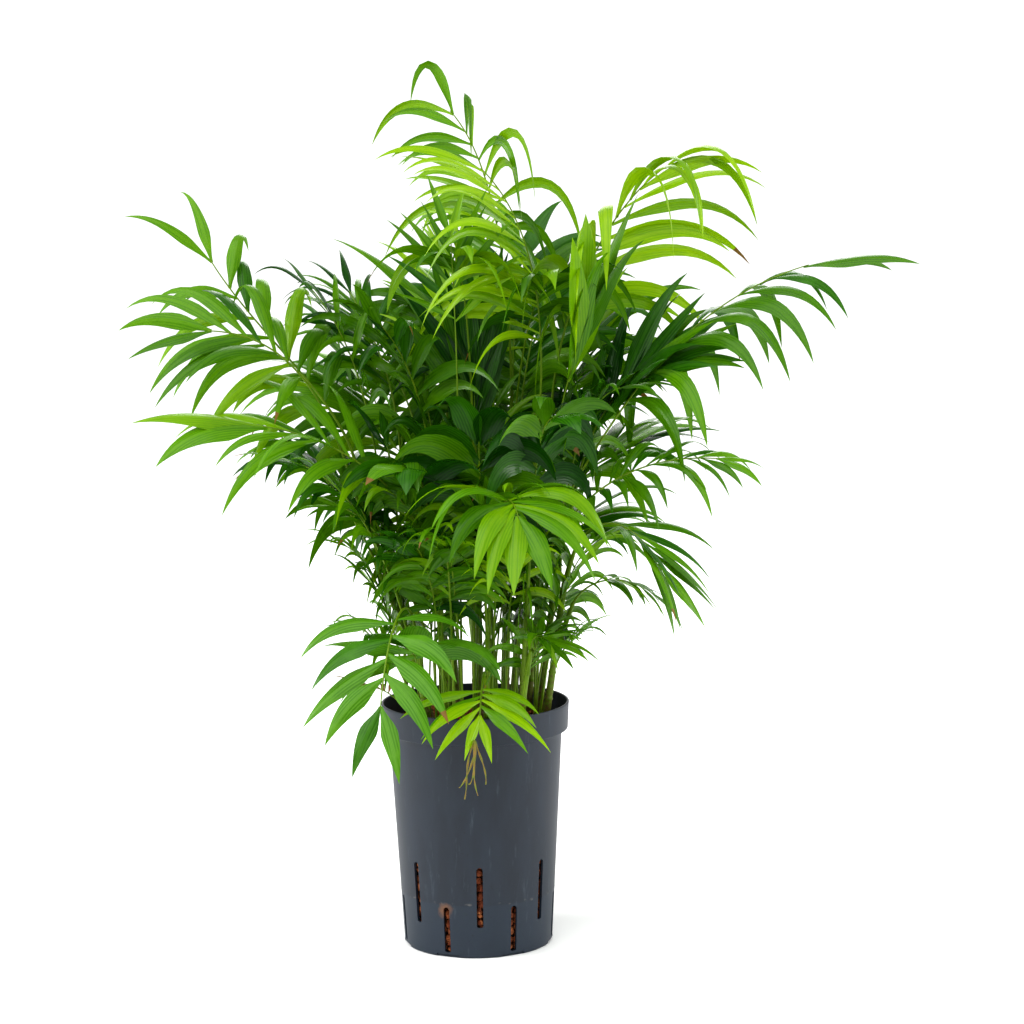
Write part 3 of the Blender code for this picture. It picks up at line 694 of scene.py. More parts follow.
# cane, at: the cane, and how far up it the stalk starts. tip: the rib's end.
# lean, up: the stalk starts at this lean from upright, and holds it for about this far.
# nod, reach: the rib ends at this angle above level, and comes to it over about this far.
# sway: how far the middle is pushed to the right of its heading. bare: the share with no leaflets.
# leaf, wide: the longest leaflet's length and width. pairs: how many there are on a side.
# spread, close: a leaflet's angle to the rib at the frond's foot and near its end.
# lift, sag: how far the leaflets rise from the rib and then droop. roll: how far the frond turns on its rib.
# folds, late: the side whose leaflets fold over, 1 on the right and -1 on the left, and how near their tips.
# end_long, end_wide, end_sag: the last pair beside the others. tint: the mix that its colours come from. The
# dark mix, on the fronds inside, under and behind the crown, is painted shade; the young mix on the top
# fronds is paler partly because they are young and partly as painted light from above.
FRONDS = {
    "frond_upright_back": Frond(
        "cane_left_back", 1, (-5, 120, 600), 12, 105, 60, 120,
        bare=0.42, leaf=78, spread=55, close=20, lift=10, sag=0.3, tint="young", pairs=11, wide=7),
    "frond_tallest": Frond(
        "cane_centre_back", 1, (-78, 80, 680), -4, 160, -15, 120,
        bare=0.46, leaf=108, spread=72, close=40, lift=5, sag=1.0, folds=-1, late=3.0, roll=62, tint="bright",
        pairs=12, wide=8.5, end_long=1.1, end_sag=1.5),
    "frond_top_arching": Frond(
        "cane_centre_right", 1, (-72, -30, 648), -12, 180, 0, 130,
        bare=0.4, leaf=132, spread=74, close=42, lift=-52, sag=0.9, tint="young", pairs=12, wide=7.5),
    "frond_upper_left_fine": Frond(
        "cane_far_left", 1, (-125, 120, 560), -10, 130, 45, 120,
        leaf=85, sag=0.9, tint="dark", wide=7),
    "frond_upper_right": Frond(
        "cane_right", 1, (245, -30, 622), -20, 125, -28, 135,
        bare=0.38, leaf=140, spread=58, close=20, lift=-10, sag=0.9, folds=1, late=6.0, roll=-35,
        tint="young", pairs=9, wide=13, end_long=1.2, end_sag=2.4),
    "frond_right_long": Frond(
        "cane_centre_right", 0.85, (345, 10, 548), 30, 150, 0, 170,
        bare=0.36, leaf=116, spread=70, close=25, lift=-5, sag=2.2, roll=10, tint="deep", pairs=8, wide=14,
        end_long=1.15, end_sag=0.15),
    "frond_left_high": Frond(
        "cane_left", 1, (-228, 40, 612), 0, 80, 85, 100,
        bare=0.15, leaf=100, sag=1.7, roll=-45, pairs=8, wide=13,
        end_long=1.15, end_wide=0.85, end_sag=0.25),
    "frond_left_middle": Frond(
        "cane_left", 0.85, (-272, -40, 482), 14, 120, -20, 130,
        sway=-15, leaf=104, sag=1.0, roll=-45, pairs=7, wide=12),
    "frond_left_broad": Frond(
        "cane_left_front", 1, (-225, -110, 420), 0, 110, -20, 90,
        bare=0.42, leaf=108, close=9, sag=1.1, roll=-30, tint="bright", pairs=6, wide=13,
        end_long=1.5, end_wide=2.2),
    "frond_left_fine": Frond(
        "cane_left", 0.55, (-195, -20, 430), 13, 60, 5, 60,
        bare=0.35, leaf=55, sag=1.6, roll=-20, tint="dark", pairs=8, wide=8),
    "frond_left_small": Frond(
        "cane_left_front", 0.5, (-140, -50, 350), 20, 90, -30, 70,
        bare=0.4, leaf=62, sag=1.1, roll=-30, pairs=8, wide=6),
    "frond_front_left_hanging": Frond(
        "cane_front_left", 1, (-70, -180, 170), 10, 75, -88, 115,
        bare=0.38, leaf=78, spread=94, close=34, sag=0.9, tint="cool", pairs=5, wide=16,
        end_long=1.1, end_wide=1),
    "frond_front_low": Frond(
        "cane_front", 0.4, (3, -140, 168), 15, 50, -65, 60,
        leaf=64, spread=86, sag=0.6, tint="young", pairs=5, wide=10, end_wide=1),
    "frond_front_fan": Frond(
        "cane_front", 1, (45, -170, 300), 10, 150, -75, 100,
        bare=0.52, leaf=98, spread=85, lift=25, sag=1.7, tint="bright", pairs=7, wide=16.5),
    "frond_right_fine": Frond(
        "cane_centre_right", 0.6, (235, -60, 385), 15, 110, -15, 100,
        bare=0.4, leaf=65, sag=1.6, roll=20, tint="deep", pairs=11, wide=8),
    "frond_right_hanging": Frond(
        "cane_right_front", 1, (165, -95, 255), 15, 75, -75, 110,
        bare=0.4, leaf=92, spread=45, sag=0.8, tint="deep", pairs=6, wide=11),
    "frond_right_small": Frond(
        "cane_right_front", 0.6, (165, -20, 262), 5, 60, -50, 60,
        bare=0.4, leaf=50, sag=1.2, pairs=7, wide=7),
    "frond_front_right_small": Frond(
        "cane_front_right", 0.5, (85, -95, 240), 5, 40, -25, 60,
        bare=0.35, leaf=60, sag=0.7, pairs=5, wide=8),
    "frond_middle_left": Frond(
        "cane_left_front", 0.7, (-60, -130, 360), 5, 150, -60, 80,
        bare=0.45, leaf=82, sag=1.7, tint="dark", pairs=6, wide=22),
    "frond_middle": Frond(
        "cane_front", 0.7, (15, -120, 400), 10, 160, -50, 85,
        sway=10, bare=0.45, leaf=80, sag=1.8, tint="dark", pairs=6, wide=22),
    "frond_middle_right": Frond(
        "cane_front_right", 1, (95, -120, 400), 5, 150, -45, 90,
        bare=0.45, leaf=80, sag=1.7, tint="dark", pairs=7, wide=19),
    "frond_inner_arching": Frond(
        "cane_centre", 0.8, (-20, -90, 520), 0, 190, -50, 100,
        bare=0.74, leaf=95, sag=2.0, tint="bright", pairs=4, wide=13),
    "frond_inner_right": Frond(
        "cane_centre_back", 0.8, (85, -70, 500), 0, 180, -60, 100,
        bare=0.64, leaf=98, sag=2.0, pairs=6, wide=14),
    "frond_centre_spear": Frond(
        "cane_centre", 1, (5, 0, 545), 0, 110, 75, 110,
        bare=0.3, leaf=118, spread=24, close=8, sag=0.3, tint="dark", pairs=9, wide=14),
    "frond_right_folded": Frond(
        "cane_right", 0.85, (215, -10, 500), 10, 110, 25, 120,
        bare=0.35, leaf=115, spread=35, close=12, sag=0.5, roll=45, tint="dark", pairs=8, wide=17),
    "frond_left_inner_fine": Frond(
        "cane_far_left", 0.9, (-165, 0, 560), 10, 110, 30, 110,
        bare=0.4, leaf=85, tint="dark", pairs=9, wide=8),
    "frond_left_inner": Frond(
        "cane_left_back", 0.8, (-110, -50, 530), 5, 110, 20, 110,
        bare=0.4, leaf=95, tint="dark", pairs=7, wide=12),
    "frond_left_under": Frond(
        "cane_front_left", 0.7, (-180, -60, 380), 5, 90, -40, 90,
        bare=0.4, leaf=80, tint="dark", pairs=7, wide=10),
    "frond_right_back_fine": Frond(
        "cane_right_back", 1, (160, 60, 470), 5, 120, 0, 100,
        bare=0.4, leaf=90, tint="dark", pairs=11, wide=8),
    "frond_right_inner_fine": Frond(
        "cane_right", 0.6, (165, -50, 440), 5, 120, -20, 100,
        bare=0.4, leaf=85, tint="dark", pairs=11, wide=8),
    "frond_back_high": Frond("cane_back", 1, (-30, 200, 520), 5, 120, -10, 120),
    "frond_back_right": Frond("cane_back", 0.7, (60, 230, 430), 8, 120, -20, 120),
    "frond_right_back_high": Frond("cane_right_back", 0.9, (140, 180, 500), 15, 120, -10, 120),
    "frond_right_back_low": Frond("cane_right_back", 0.6, (190, 120, 380), 10, 110, -20, 110, tint="dark"),
    "frond_left_back": Frond("cane_far_left", 0.7, (-120, 190, 440), 8, 120, -15, 120),
    "frond_left_back_low": Frond("cane_far_left", 0.4, (-180, 110, 370), 16, 110, -20, 100, tint="dark"),
    "frond_back_low": Frond("cane_back", 0.5, (-60, 200, 330), 15, 100, -40, 100),
    "frond_back_inner": Frond("cane_centre_back", 0.4, (55, 160, 585), 15, 150, 10, 120, tint="dark"),
    "frond_back_right_low": Frond("cane_right_back", 0.4, (120, 190, 300), 15, 90, -40, 90, leaf=100),
    "frond_back_right_high": Frond(
        "cane_centre_back", 0.6, (110, 140, 560), 5, 140, 15, 120, leaf=100, wide=13),
    "frond_left_back_high": Frond(
        "cane_left_back", 0.6, (-140, 160, 520), 5, 130, 10, 120, leaf=100, wide=12),
    "frond_back_middle": Frond("cane_centre", 0.6, (10, 230, 370), 10, 110, -30, 110, leaf=100, wide=14),
}
STALK_FOOT_R = 1.5 * MM
RIB_TIP_R = 0.5 * MM
STALK_CLEAR = 0.7 * MM
RIB_SIDES = 8
RIB_DEPTH = 0.85
RIB_PAST_LEAFLETS = 0.01
SHEATH_BELOW = 24 * MM
SHEATH_ABOVE = 26 * MM
SHEATH_NARROWS = 0.3625
SHEATH_RINGS = 18
SHEATH_SIDES = 12
RIB_ROWS = 60
CURVE_STEPS = 160
LEAFLET_ROWS = 14
ACROSS = (-1, -0.52, 0, 0.52, 1)
LEAFLET_FOLD = 22
WIDEST_AT = 0.38
FOLD_SAG = 6.0
PLAIN_LATE = 2.2
END_REACH = 0.72
END_CLOSE = 0.7
# How far the rule scatters the leaflets: angles in degrees, the others as shares.
ANGLE_SCATTER = 7
LIFT_SCATTER = 9
LENGTH_SCATTER = 0.08
SAG_SCATTER = 0.25
FOLD_SCATTER = 6
TWIST_SCATTER = 20
TIP_WITHER_CHANCE = 0.04

# A leaf's skin: a thin wax over parallel veins, satin on both sides, with paler patches that are a painted
# highlight for the sheen that the light lays on the leaves. The light that comes through is yellower than
# what it sends back, and young leaves are paler and yellower than old ones.
# The veins are 1 mm apart, too fine to show from here, so they are drawn 2 mm apart. The middle one is paler
# and as wide as a thread. VEIN_WAVE is the wave texture's scale for a band a millimetre.
VEIN_WAVE = 2 * pi / 20
VEIN_SPACING = 2.0
MIDRIB_WIDTH = 0.7
VEIN_PATCH = 20
SHEEN_PATCH_SIZE = 30 * MM
LIGHT_THROUGH = 0.22
LeafTint = namedtuple("LeafTint", "face vein glow")
# Each living tint has a deeper copy (_deep), dealt out at random among a frond's leaflets: partly the
# leaflets' own tone and partly painted shade for the leaflets that the light misses.
LEAF_TINTS = {
    # The young tints: paler and yellower, as young leaves are, and on the top fronds also painted light from
    # above.
    "young": LeafTint("#72a004", "#9ec214", "#9fcc04"),
    "young_deep": LeafTint("#588a04", "#82aa10", "#88b404"),
    "mid": LeafTint("#3f7204", "#6c9c12", "#6ca404"),
    "mid_deep": LeafTint("#2f5e04", "#56860e", "#568c04"),
    # The dark tints: painted shade, for the fronds and shoots inside, under and behind the crown.
    "dark": LeafTint("#1a4a04", "#407a10", "#427a04"),
    "dark_deep": LeafTint("#0b3404", "#265c0a", "#286204"),
    # The cool tints: a bluer green, partly the leaves' own and partly a painted bluish reflection of the sky.
    "cool": LeafTint("#396e0a", "#6a9e2e", "#629a08"),
    "cool_deep": LeafTint("#285a08", "#4f8626", "#4e8408"),
    "withered": LeafTint("#6e5226", "#8a6c38", "#80642c"),
}
TINT_NUMBERS = {name: number for number, name in enumerate(LEAF_TINTS)}
# The shades that each mix deals out, with their shares.
TINT_DEALS = {
    "young": (("young", 0.62), ("young_deep", 0.28), ("mid", 0.10)),
    "withered": (("withered", 1.0),),
    "bright": (("young_deep", 0.45), ("mid", 0.42), ("mid_deep", 0.13)),
    "mid": (("mid", 0.50), ("mid_deep", 0.32), ("young_deep", 0.10), ("dark", 0.08)),
    "deep": (("mid_deep", 0.5), ("mid", 0.25), ("dark", 0.25)),
    "dark": (("dark", 0.36), ("dark_deep", 0.24), ("mid_deep", 0.24), ("mid", 0.16)),
    "cool": (("cool", 0.55), ("cool_deep", 0.30), ("mid", 0.15)),
}


def leaf_skin(name, tint):
    """A leaf material: waxed skin over a layer that lets light through."""
    material = new_material("leaf_skin_" + name)
    spot = node(material, "UVMap", uv_map="surface_mm")
    veins = node(material, "TexWave", {
        "Vector": spot, "Scale": VEIN_WAVE / VEIN_SPACING, "Distortion": 0.3, "Detail": 1.0},
        bands_direction="X").outputs["Fac"]
    vein_patch = node(material, "TexNoise", {"Vector": spot, "Scale": 1 / VEIN_PATCH, "Detail": 3.0})
    vein_share = node(material, "Math", {0: veins, 1: vein_patch}, operation="MULTIPLY")
    aside = node(material, "SeparateXYZ", {0: spot}).outputs["X"]
    across = node(material, "Math", {0: aside}, operation="ABSOLUTE")
    midrib = node(material, "MapRange", {
        "Value": across, "From Min": MIDRIB_WIDTH, "From Max": MIDRIB_WIDTH * 0.4, "To Max": 0.55})
    line_share = node(material, "Math", {0: vein_share, 1: midrib}, operation="MAXIMUM")
    # Paler patches 30 mm across: a painted highlight, for the sheen that the light lays on the leaves.
    place = node(material, "TexCoord").outputs["Object"]
    patch = node(material, "TexNoise", {"Vector": place, "Scale": 1 / SHEEN_PATCH_SIZE, "Detail": 3.0})
    sheen_share = node(material, "MapRange", {
        "Value": patch, "From Min": 0.5, "From Max": 0.68, "To Max": 0.6})
    vein_and_sheen_share = node(material, "Math", {0: line_share, 1: sheen_share}, operation="MAXIMUM")
    face = node(material, "Mix", {
        0: vein_and_sheen_share, 6: colour(tint.face), 7: colour(tint.vein)}, data_type="RGBA")
    relief = node(material, "Bump", {"Strength": 0.35, "Distance": 0.15 * MM, "Height": veins})
    wax = node(material, "BsdfPrincipled", {
        "Base Color": face, "Roughness": 0.25, "IOR": 1.42, "Specular IOR Level": 0.34, "Normal": relief})
    through = node(material, "BsdfTranslucent", {"Color": colour(tint.glow), "Normal": relief})
    leaf = node(material, "MixShader", {0: LIGHT_THROUGH, 1: wax, 2: through})
    node(material, "OutputMaterial", {"Surface": leaf})
    return material


leaf_skins = [leaf_skin(name, tint) for name, tint in LEAF_TINTS.items()]

# A stalk's skin: smooth and pale green, striped along with yellower fibres 1.5 mm apart.
STALK_GREEN = "#466c06"
STALK_YELLOW = "#98b024"
STALK_FIBRE = 1.5

stalk_skin = new_material("smooth_green_stalk")
stalk_map = node(stalk_skin, "UVMap", uv_map="surface_mm")
stalk_fibre = node(stalk_skin, "TexWave", {
    "Vector": stalk_map, "Scale": VEIN_WAVE / STALK_FIBRE, "Distortion": 1.0, "Detail": 1.0},
    bands_direction="X").outputs["Fac"]
stalk_patch = node(stalk_skin, "TexNoise", {"Vector": stalk_map, "Scale": 1 / VEIN_PATCH, "Detail": 2.0})
stalk_share = node(stalk_skin, "Math", {0: stalk_fibre, 1: stalk_patch}, operation="MULTIPLY")
stalk_tone = node(stalk_skin, "Mix", {
    0: stalk_share, 6: colour(STALK_GREEN), 7: colour(STALK_YELLOW)}, data_type="RGBA")
stalk_bump = node(stalk_skin, "Bump", {"Strength": 0.3, "Distance": 0.1 * MM, "Height": stalk_fibre})
stalk_surface = node(stalk_skin, "BsdfPrincipled", {
    "Base Color": stalk_tone, "Roughness": 0.42, "IOR": 1.42, "Specular IOR Level": 0.3,
    "Normal": stalk_bump})
node(stalk_skin, "OutputMaterial", {"Surface": stalk_surface})


def stalk_foot(cane, at, lean, tip):
    """Where a frond starts: on its cane's tip, or beside the cane on the side that it heads for."""
    point, radius = cane_point(cane, at)
    if at == 1:
        tilt = radius * sin(radians(cane.lean)) + STALK_FOOT_R * sin(radians(abs(lean)))
        return point + Vector((0, 0, GAP + tilt))
    out = Vector(tip).xy * MM - point.xy
    out = out.normalized() * (radius + STALK_FOOT_R + STALK_CLEAR)
    return point + Vector((*out, 0))


class Rib:
    """The line of a frond's stalk and rib, with its frame at any share of its length."""

    def __init__(self, foot, tip, lean, up, nod, reach, sway, roll):
        """One smooth curve from the foot to the tip. Lengths are in metres, and only roll is in radians."""
        foot = Vector(foot)
        tip = Vector(tip)
        bearing = atan2(tip.y - foot.y, tip.x - foot.x)
        side = Vector((sin(bearing), -cos(bearing), 0))
        start = foot + heading(degrees(bearing), 90 - lean) * up
        end = tip - heading(degrees(bearing), nod) * reach
        push = side * sway
        points = np.array(interpolate_bezier(foot, start + push / 2, end + push, tip, CURVE_STEPS))
        runs = np.concatenate([[0], np.cumsum(np.linalg.norm(np.diff(points, axis=0), axis=1))])
        self.length = runs[-1]
        self.shares = runs / runs[-1]
        self.points = points
        self.along = unit_rows(np.gradient(points, axis=0))
        side = np.array(side)
        level = unit_rows(side - self.along * (self.along @ side)[:, None])
        over = np.cross(level, self.along)
        self.right = level * cos(roll) - over * sin(roll)
        self.upper = np.cross(self.right, self.along)

    def at(self, share):
        """Point, direction, right-hand side and upper side at a share of the length."""
        values = [
            np.array([np.interp(share, self.shares, line[:, k]) for k in range(3)])
            for line in (self.points, self.along, self.right, self.upper)
        ]
        return values[0], *(v / np.linalg.norm(v) for v in values[1:])


def leaflet_outline(share):
    """Half a leaflet's width, as a share of its greatest: it widens early and is drawn out to its point."""
    rise = np.clip(share / WIDEST_AT, 0, 1)
    fall = np.clip((share - WIDEST_AT) / (1 - WIDEST_AT), 0, 1)
    return (0.2 + 0.8 * rise * rise * (3 - 2 * rise)) * (1 - fall**1.3)


def add_leaflet(gather, foot, along, across, side, length, width, sag, late, fold, twist, number, tip_number):
    """One leaflet: rows of five points, folded along the middle, bending down to a single point.

    It starts along one direction with its width across it, and side is 1 on the rib's right or -1. The last
    two rows take tip_number's tint.
    """
    steps = LEAFLET_ROWS
    down = np.array((0, 0, -1.0))
    direction = along
    point = foot
    rows = []
    places = []
    for k in range(steps):
        share = k / steps
        half = width / 2 * leaflet_outline(share)
        turn = twist * share
        normal = side * np.cross(direction, across)
        wide = across * cos(turn) + normal * sin(turn)
        up = normal * cos(turn) - across * sin(turn)
        droop = tan(fold * (1 - 0.55 * share))
        for offset in ACROSS:
            rows.append(point + wide * offset * half - up * (abs(offset) ** 1.3) * half * droop)
            places.append((offset * half / MM, share * length / MM))
        run = (k + 0.5) / steps
        bent = along + down * sag * (0.4 * run + 1.4 * run**late)
        bent /= np.linalg.norm(bent)
        across = across - (across @ bent) / (1 + direction @ bent) * (direction + bent)
        across /= np.linalg.norm(across)
        direction = bent
        point = point + direction * length / steps
    rows.append(point)
    places.append((0, length / MM))
    row = len(ACROSS)
    strips = row - 1
    faces = []
    for k in range(steps - 1):
        a = k * row
        b = a + row
        faces += [(a + i, a + i + 1, b + i + 1, b + i) for i in range(strips)]
    last = (steps - 1) * row
    faces += [(last + i, last + i + 1, steps * row) for i in range(strips)]
    if side > 0:
        faces = [tuple(reversed(face)) for face in faces]
    numbers = [number] * (strips * (steps - 2)) + [tip_number] * (strips * 2)
    gather.add(rows, faces, places, numbers)


def dealt(tint, rng):
    """A tint's number, drawn by the shares in which its shades are dealt out."""
    draw = rng.random()
    for name, share in TINT_DEALS[tint]:
        draw -= share
        if draw < 0:
            return TINT_NUMBERS[name]
    return TINT_NUMBERS[TINT_DEALS[tint][0][0]]


def rib_end(rib, plan):
    """The share of the frond's length where its last leaflets grow. They reach on to its tip."""
    return 1 - END_REACH * plan.leaf * MM / rib.length


def add_leaflets(gather, rib, plan, rng):
    """Two rows of leaflets up the rib, which shorten and close up towards its tip."""
    last = rib_end(rib, plan)
    spread = radians(plan.spread)
    close = radians(plan.close)
    for side in (1, -1):
        for j in range(plan.pairs):
            rank = (j + (0.25 if side > 0 else 0) + 0.25 * rng.random()) / (plan.pairs - 0.4)
            end = j == plan.pairs - 1
            rank = 1.0 if end else min(rank, 1.0)
            foot, along, right, upper = rib.at(plan.bare + (last - plan.bare) * rank)
            angle = spread + (close - spread) * rank**0.8 + radians(ANGLE_SCATTER) * rng.normal()
            if end:
                angle = close * END_CLOSE
            lift = radians(plan.lift) * (1 - 0.6 * rank) + radians(LIFT_SCATTER) * rng.normal()
            out = right * side * cos(lift) + upper * sin(lift)
            direction = along * cos(angle) + out * sin(angle)
            direction /= np.linalg.norm(direction)
            across = along - (along @ direction) * direction
            across /= np.linalg.norm(across)
            length = plan.leaf * MM * (0.68 + 0.32 * sin(pi * min(1, 0.15 + 0.9 * rank)))
            length *= (1 + LENGTH_SCATTER * rng.normal()) * (plan.end_long if end else 1)
            width = plan.wide * MM * (0.85 + 0.2 * sin(pi * min(1, 0.2 + 0.8 * rank)))
            width *= plan.end_wide if end else 1
            folds = side == plan.folds and not end
            sag = FOLD_SAG if folds else plan.sag
            sag *= (1 + SAG_SCATTER * rng.normal()) * (plan.end_sag if end else 1 - 0.45 * rank)
            late = plan.late if folds else PLAIN_LATE
            fold = radians(LEAFLET_FOLD + FOLD_SCATTER * rng.normal())
            twist = radians(TWIST_SCATTER * rng.normal())
            number = dealt(plan.tint, rng)
            tip_number = TINT_NUMBERS["withered"] if rng.random() < TIP_WITHER_CHANCE else number
            add_leaflet(
                gather, foot, direction, across, side, length, width, sag, late, fold, twist,
                number, tip_number)


def add_rib(gather, rib, plan, foot_r, tip_r):
    """The stalk and the rib, which thin out towards the last leaflets."""
    end = rib_end(rib, plan) + RIB_PAST_LEAFLETS
    shares = np.linspace(0, end, RIB_ROWS)
    points, _, rights, uppers = [np.array(line) for line in zip(*(rib.at(share) for share in shares))]
    radii = foot_r + (tip_r - foot_r) * (shares / end) ** 0.8
    add_tube(gather, points, rights, uppers, radii, RIB_SIDES, depth=RIB_DEPTH)


def add_free_tube(gather, line, upper, radii, sides):
    """A tube along a line of points, with its sides square to one direction all the way."""
    line = np.array(line)
    along = unit_rows(np.gradient(line, axis=0))
    right = unit_rows(np.cross(along, upper))
    add_tube(gather, line, right, np.cross(right, along), radii, sides)


def add_sheath(gather, rib, cane, at, rng):
    """The foot of the stalk, which clasps the cane below it and narrows into the stalk above."""
    below = SHEATH_BELOW * rng.uniform(0.7, 1.2) / (cane.length * MM)
    above = SHEATH_ABOVE * rng.uniform(0.7, 1.3) / rib.length
    low, radius = cane_point(cane, max(at - below, 0.02))
    middle, _ = cane_point(cane, max(at - below * 0.3, 0.03))
    narrowing = rib.at(SHEATH_NARROWS * above)[0]
    line = interpolate_bezier(low, middle, narrowing, rib.at(above)[0], SHEATH_RINGS)
    shares = np.linspace(0, 1, SHEATH_RINGS)
    radii = (radius + 0.15 * MM) * (1 - shares) + STALK_FOOT_R * 0.98 * shares
    radii += 0.1 * MM * np.sin(pi * shares)
    add_free_tube(gather, line, rib.at(0.02)[3], radii, SHEATH_SIDES)


for seed, (frond_name, plan) in enumerate(FRONDS.items()):
    rng = np.random.default_rng(100 + seed)
    foot = stalk_foot(CANES[plan.cane], plan.at, plan.lean, plan.tip)
    rib = Rib(
        foot, Vector(plan.tip) * MM, plan.lean, plan.up * MM, plan.nod, plan.reach * MM, plan.sway * MM,
        radians(plan.roll))
    stalk = Gather()
    add_rib(stalk, rib, plan, STALK_FOOT_R, RIB_TIP_R)
    add_sheath(stalk, rib, CANES[plan.cane], plan.at, rng)
    stalk_piece = stalk.made(frond_name + "_rib", [stalk_skin])
    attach(stalk_piece, "root")
    leaves = Gather()
    add_leaflets(leaves, rib, plan, rng)
    leaf_piece = leaves.made(frond_name + "_leaflets", leaf_skins)
    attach(leaf_piece, "root")
    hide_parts(frond_name)

# The young shoots
# Stems as thin as a straw stand between the canes, each a stalk that comes straight out of the granules and
# ends in a small frond. They are too thin and too many for solids of their own.
SHOOT_COUNT = 30
SHOOT_FOOT_R = (1.1 * MM, 1.6 * MM)
SHOOT_TIP_R = 0.45 * MM
SHOOT_RING = 56 * MM
SHOOT_DEPTH = 3 * MM
SHOOT_LIFT = 12
GOLDEN_ANGLE = 137.5

Shoot = namedtuple("Shoot", "foot tip lean nod bare leaf pairs wide spread sag tint", defaults=("mid",))
# The shoots that are placed one by one, at the clump's edges and in front, with foot and tip in mm.
SIDE_SHOOTS = (
    Shoot((-38, -30), (-58, -132, 258), 3, -66, 0.5, 88, 3, 26, 76, 1.0, "cool"),
    Shoot((-45, -28), (-94, -84, 218), 8, -70, 0.5, 46, 4, 4.5, 60, 1.0, "withered"),
    Shoot((-48, -14), (-118, -30, 300), 10, -20, 0.42, 62, 8, 6, 62, 1.1),
    Shoot((-46, 4), (-108, -20, 342), 8, 0, 0.4, 64, 9, 6, 62, 1.1),
    Shoot((-42, -22), (-122, -52, 262), 12, -35, 0.45, 55, 7, 6, 62, 1.2),
    Shoot((-50, 12), (-140, 20, 322), 10, -10, 0.4, 60, 8, 6.5, 62, 1.2),
    Shoot((46, -20), (104, -62, 292), 6, -35, 0.45, 60, 8, 6, 60, 1.3),
    Shoot((50, -4), (136, -44, 326), 8, -25, 0.42, 64, 9, 6.5, 60, 1.3),
    Shoot((38, -36), (74, -82, 258), 4, -40, 0.45, 56, 7, 6.5, 64, 1.0),
    Shoot((52, -12), (98, -58, 252), 10, -45, 0.5, 52, 6, 6, 60, 0.9),
    Shoot((24, -44), (50, -110, 316), 3, -45, 0.55, 54, 6, 8, 66, 1.2, "young"),
    Shoot((-8, -50), (-20, -122, 322), 2, -50, 0.6, 56, 6, 9, 68, 1.3, "bright"),
    Shoot((-22, -46), (-66, -112, 326), 4, -40, 0.5, 66, 6, 12, 66, 1.3, "dark"),
    Shoot((10, -40), (28, -112, 350), 2, -45, 0.55, 66, 6, 13, 66, 1.4, "dark"),
    Shoot((-30, -34), (-34, -60, 330), 2, -10, 0.7, 50, 4, 8, 60, 1.2),
    Shoot((18, -30), (30, -52, 350), 1, 10, 0.7, 50, 4, 8, 60, 1.2),
    Shoot((0, -36), (6, -60, 340), 1, 0, 0.7, 50, 4, 9, 60, 1.2, "dark"),
    Shoot((34, -28), (52, -40, 330), 2, 0, 0.7, 50, 4, 8, 60, 1.2),
    Shoot((-20, -38), (-30, -70, 345), 2, 0, 0.72, 50, 4, 8, 60, 1.2, "dark"),
    Shoot((-36, -18), (-60, -40, 330), 2, 0, 0.7, 50, 4, 8, 60, 1.2),
    Shoot((-10, -24), (-14, -58, 612), 1, 82, 0.74, 66, 6, 6.5, 54, 0.2),
    Shoot((34, -16), (100, -48, 592), 6, 86, 0.66, 128, 3, 22, 15, 0.5, "bright"),
)


def add_shoot(foot, tip, shoot, sway, roll, rng):
    """One shoot: a stalk from just under the granules' top and its leaflets."""
    rise = tip.z - foot.z
    rib = Rib(foot, tip, shoot.lean, rise * 0.8, shoot.nod, rise * 0.4, sway, roll)
    plan = Frond(
        None, 0, None, 0, 0, 0, 0, bare=shoot.bare, leaf=shoot.leaf, spread=shoot.spread, lift=SHOOT_LIFT,
        sag=shoot.sag, tint=shoot.tint, pairs=shoot.pairs, wide=shoot.wide)
    add_rib(shoot_stalks, rib, plan, rng.uniform(*SHOOT_FOOT_R), SHOOT_TIP_R)
    add_leaflets(shoot_leaves, rib, plan, rng)


shoot_stalks = Gather()
shoot_leaves = Gather()
shoot_start = Vector((0, 0, GRANULE_TOP - SHOOT_DEPTH))
for k, shoot in enumerate(SIDE_SHOOTS):
    foot = Vector((*shoot.foot, 0)) * MM + shoot_start
    rng = np.random.default_rng(500 + k)
    sway = rng.uniform(-6, 6) * MM
    add_shoot(foot, Vector(shoot.tip) * MM, shoot, sway, radians(rng.uniform(-20, 20)), rng)
for k in range(SHOOT_COUNT):
    rng = np.random.default_rng(400 + k)
    bearing = k * GOLDEN_ANGLE + rng.uniform(-12, 12)
    reach = SHOOT_RING * ((k + 0.5) / SHOOT_COUNT) ** 0.5
    foot = heading(bearing, 0) * reach + shoot_start
    tip = heading(bearing + rng.uniform(-25, 25), 0) * (reach + rng.uniform(45, 100) * MM)
    tip.z = rng.uniform(290, 430) * MM
    shoot = Shoot(
        None, None, rng.uniform(0, 6), rng.uniform(-60, 0), rng.uniform(0.42, 0.55), rng.uniform(52, 78),
        int(rng.integers(6, 10)), rng.uniform(6, 10), rng.uniform(58, 75), rng.uniform(0.9, 1.8),
        ("mid", "dark", "mid", "bright")[k % 4])
    add_shoot(foot, tip, shoot, rng.uniform(-8, 8) * MM, radians(rng.uniform(-25, 25)), rng)
shoot_stems = shoot_stalks.made("shoot_stems", [stalk_skin])
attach(shoot_stems, "root")
shoot_foliage = shoot_leaves.made("shoot_leaflets", leaf_skins)
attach(shoot_foliage, "root")

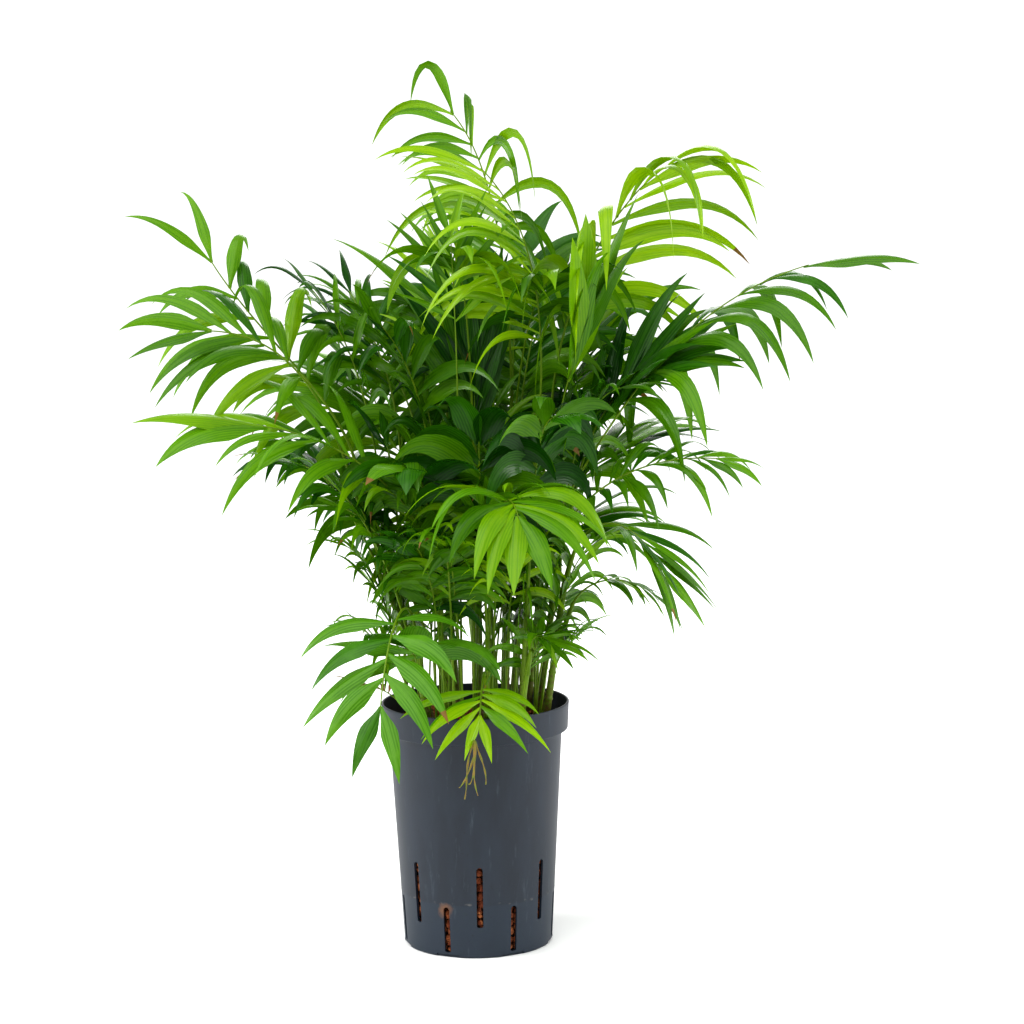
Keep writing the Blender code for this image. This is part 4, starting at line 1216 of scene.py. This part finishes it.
# The dry strands
# What is left of an old flower stalk hangs over the front of the rim: a few limp threads, dried to olive and
# brown, held in the foot of the low front frond.
STRAND_R = 0.8 * MM
STRAND_FROM = (1, -131, 190)
STRAND_ENDS = ((-11, -139, 156), (-7, -143, 148), (3, -141, 150), (9, -138, 158), (-4, -145, 160))
STRAND_WANDER_MM = 9
STRAND_POINTS = 24
STRAND_SIDES = 8
STRAND_OLIVE = "#6f7a2a"
STRAND_BROWN = "#8a6f3c"
DRY_PATCHES = 0.15

# Dried stalk: shrunken and dull, in patches of olive and brown, of which DRY_PATCHES go to a mm.
dry_skin = new_material("dried_stalk")
dry_map = node(dry_skin, "UVMap", uv_map="surface_mm")
dry_patch = node(dry_skin, "TexNoise", {"Vector": dry_map, "Scale": DRY_PATCHES, "Detail": 3.0})
dry_share = node(dry_skin, "MapRange", {"Value": dry_patch, "From Min": 0.4, "From Max": 0.6})
dry_tone = node(dry_skin, "Mix", {
    0: dry_share, 6: colour(STRAND_OLIVE), 7: colour(STRAND_BROWN)}, data_type="RGBA")
dry_bump = node(dry_skin, "Bump", {"Strength": 0.5, "Distance": 0.2 * MM, "Height": dry_patch})
dry_surface = node(dry_skin, "BsdfPrincipled", {
    "Base Color": dry_tone, "Roughness": 0.7, "Specular IOR Level": 0.25, "Normal": dry_bump})
node(dry_skin, "OutputMaterial", {"Surface": dry_surface})

strand_rng = np.random.default_rng(31)
strands = Gather()
for end in STRAND_ENDS:
    start = Vector(STRAND_FROM) * MM
    stop = Vector(end) * MM
    wander = [Vector(strand_rng.uniform(-STRAND_WANDER_MM, STRAND_WANDER_MM, 3)) * MM for _ in range(2)]
    pulls = (start.lerp(stop, 0.4) + wander[0], start.lerp(stop, 0.8) + wander[1])
    line = interpolate_bezier(start, *pulls, stop, STRAND_POINTS)
    shares = np.linspace(0, 1, STRAND_POINTS)
    radii = STRAND_R * (1 - 0.5 * shares) * (1 + 0.35 * np.sin(shares * 19 + strand_rng.uniform(0, 6)))
    add_free_tube(strands, line, (0.1, -1, 0.2), radii, STRAND_SIDES)
dry_strands = strands.made("dry_strands", [dry_skin])
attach(dry_strands, "root")
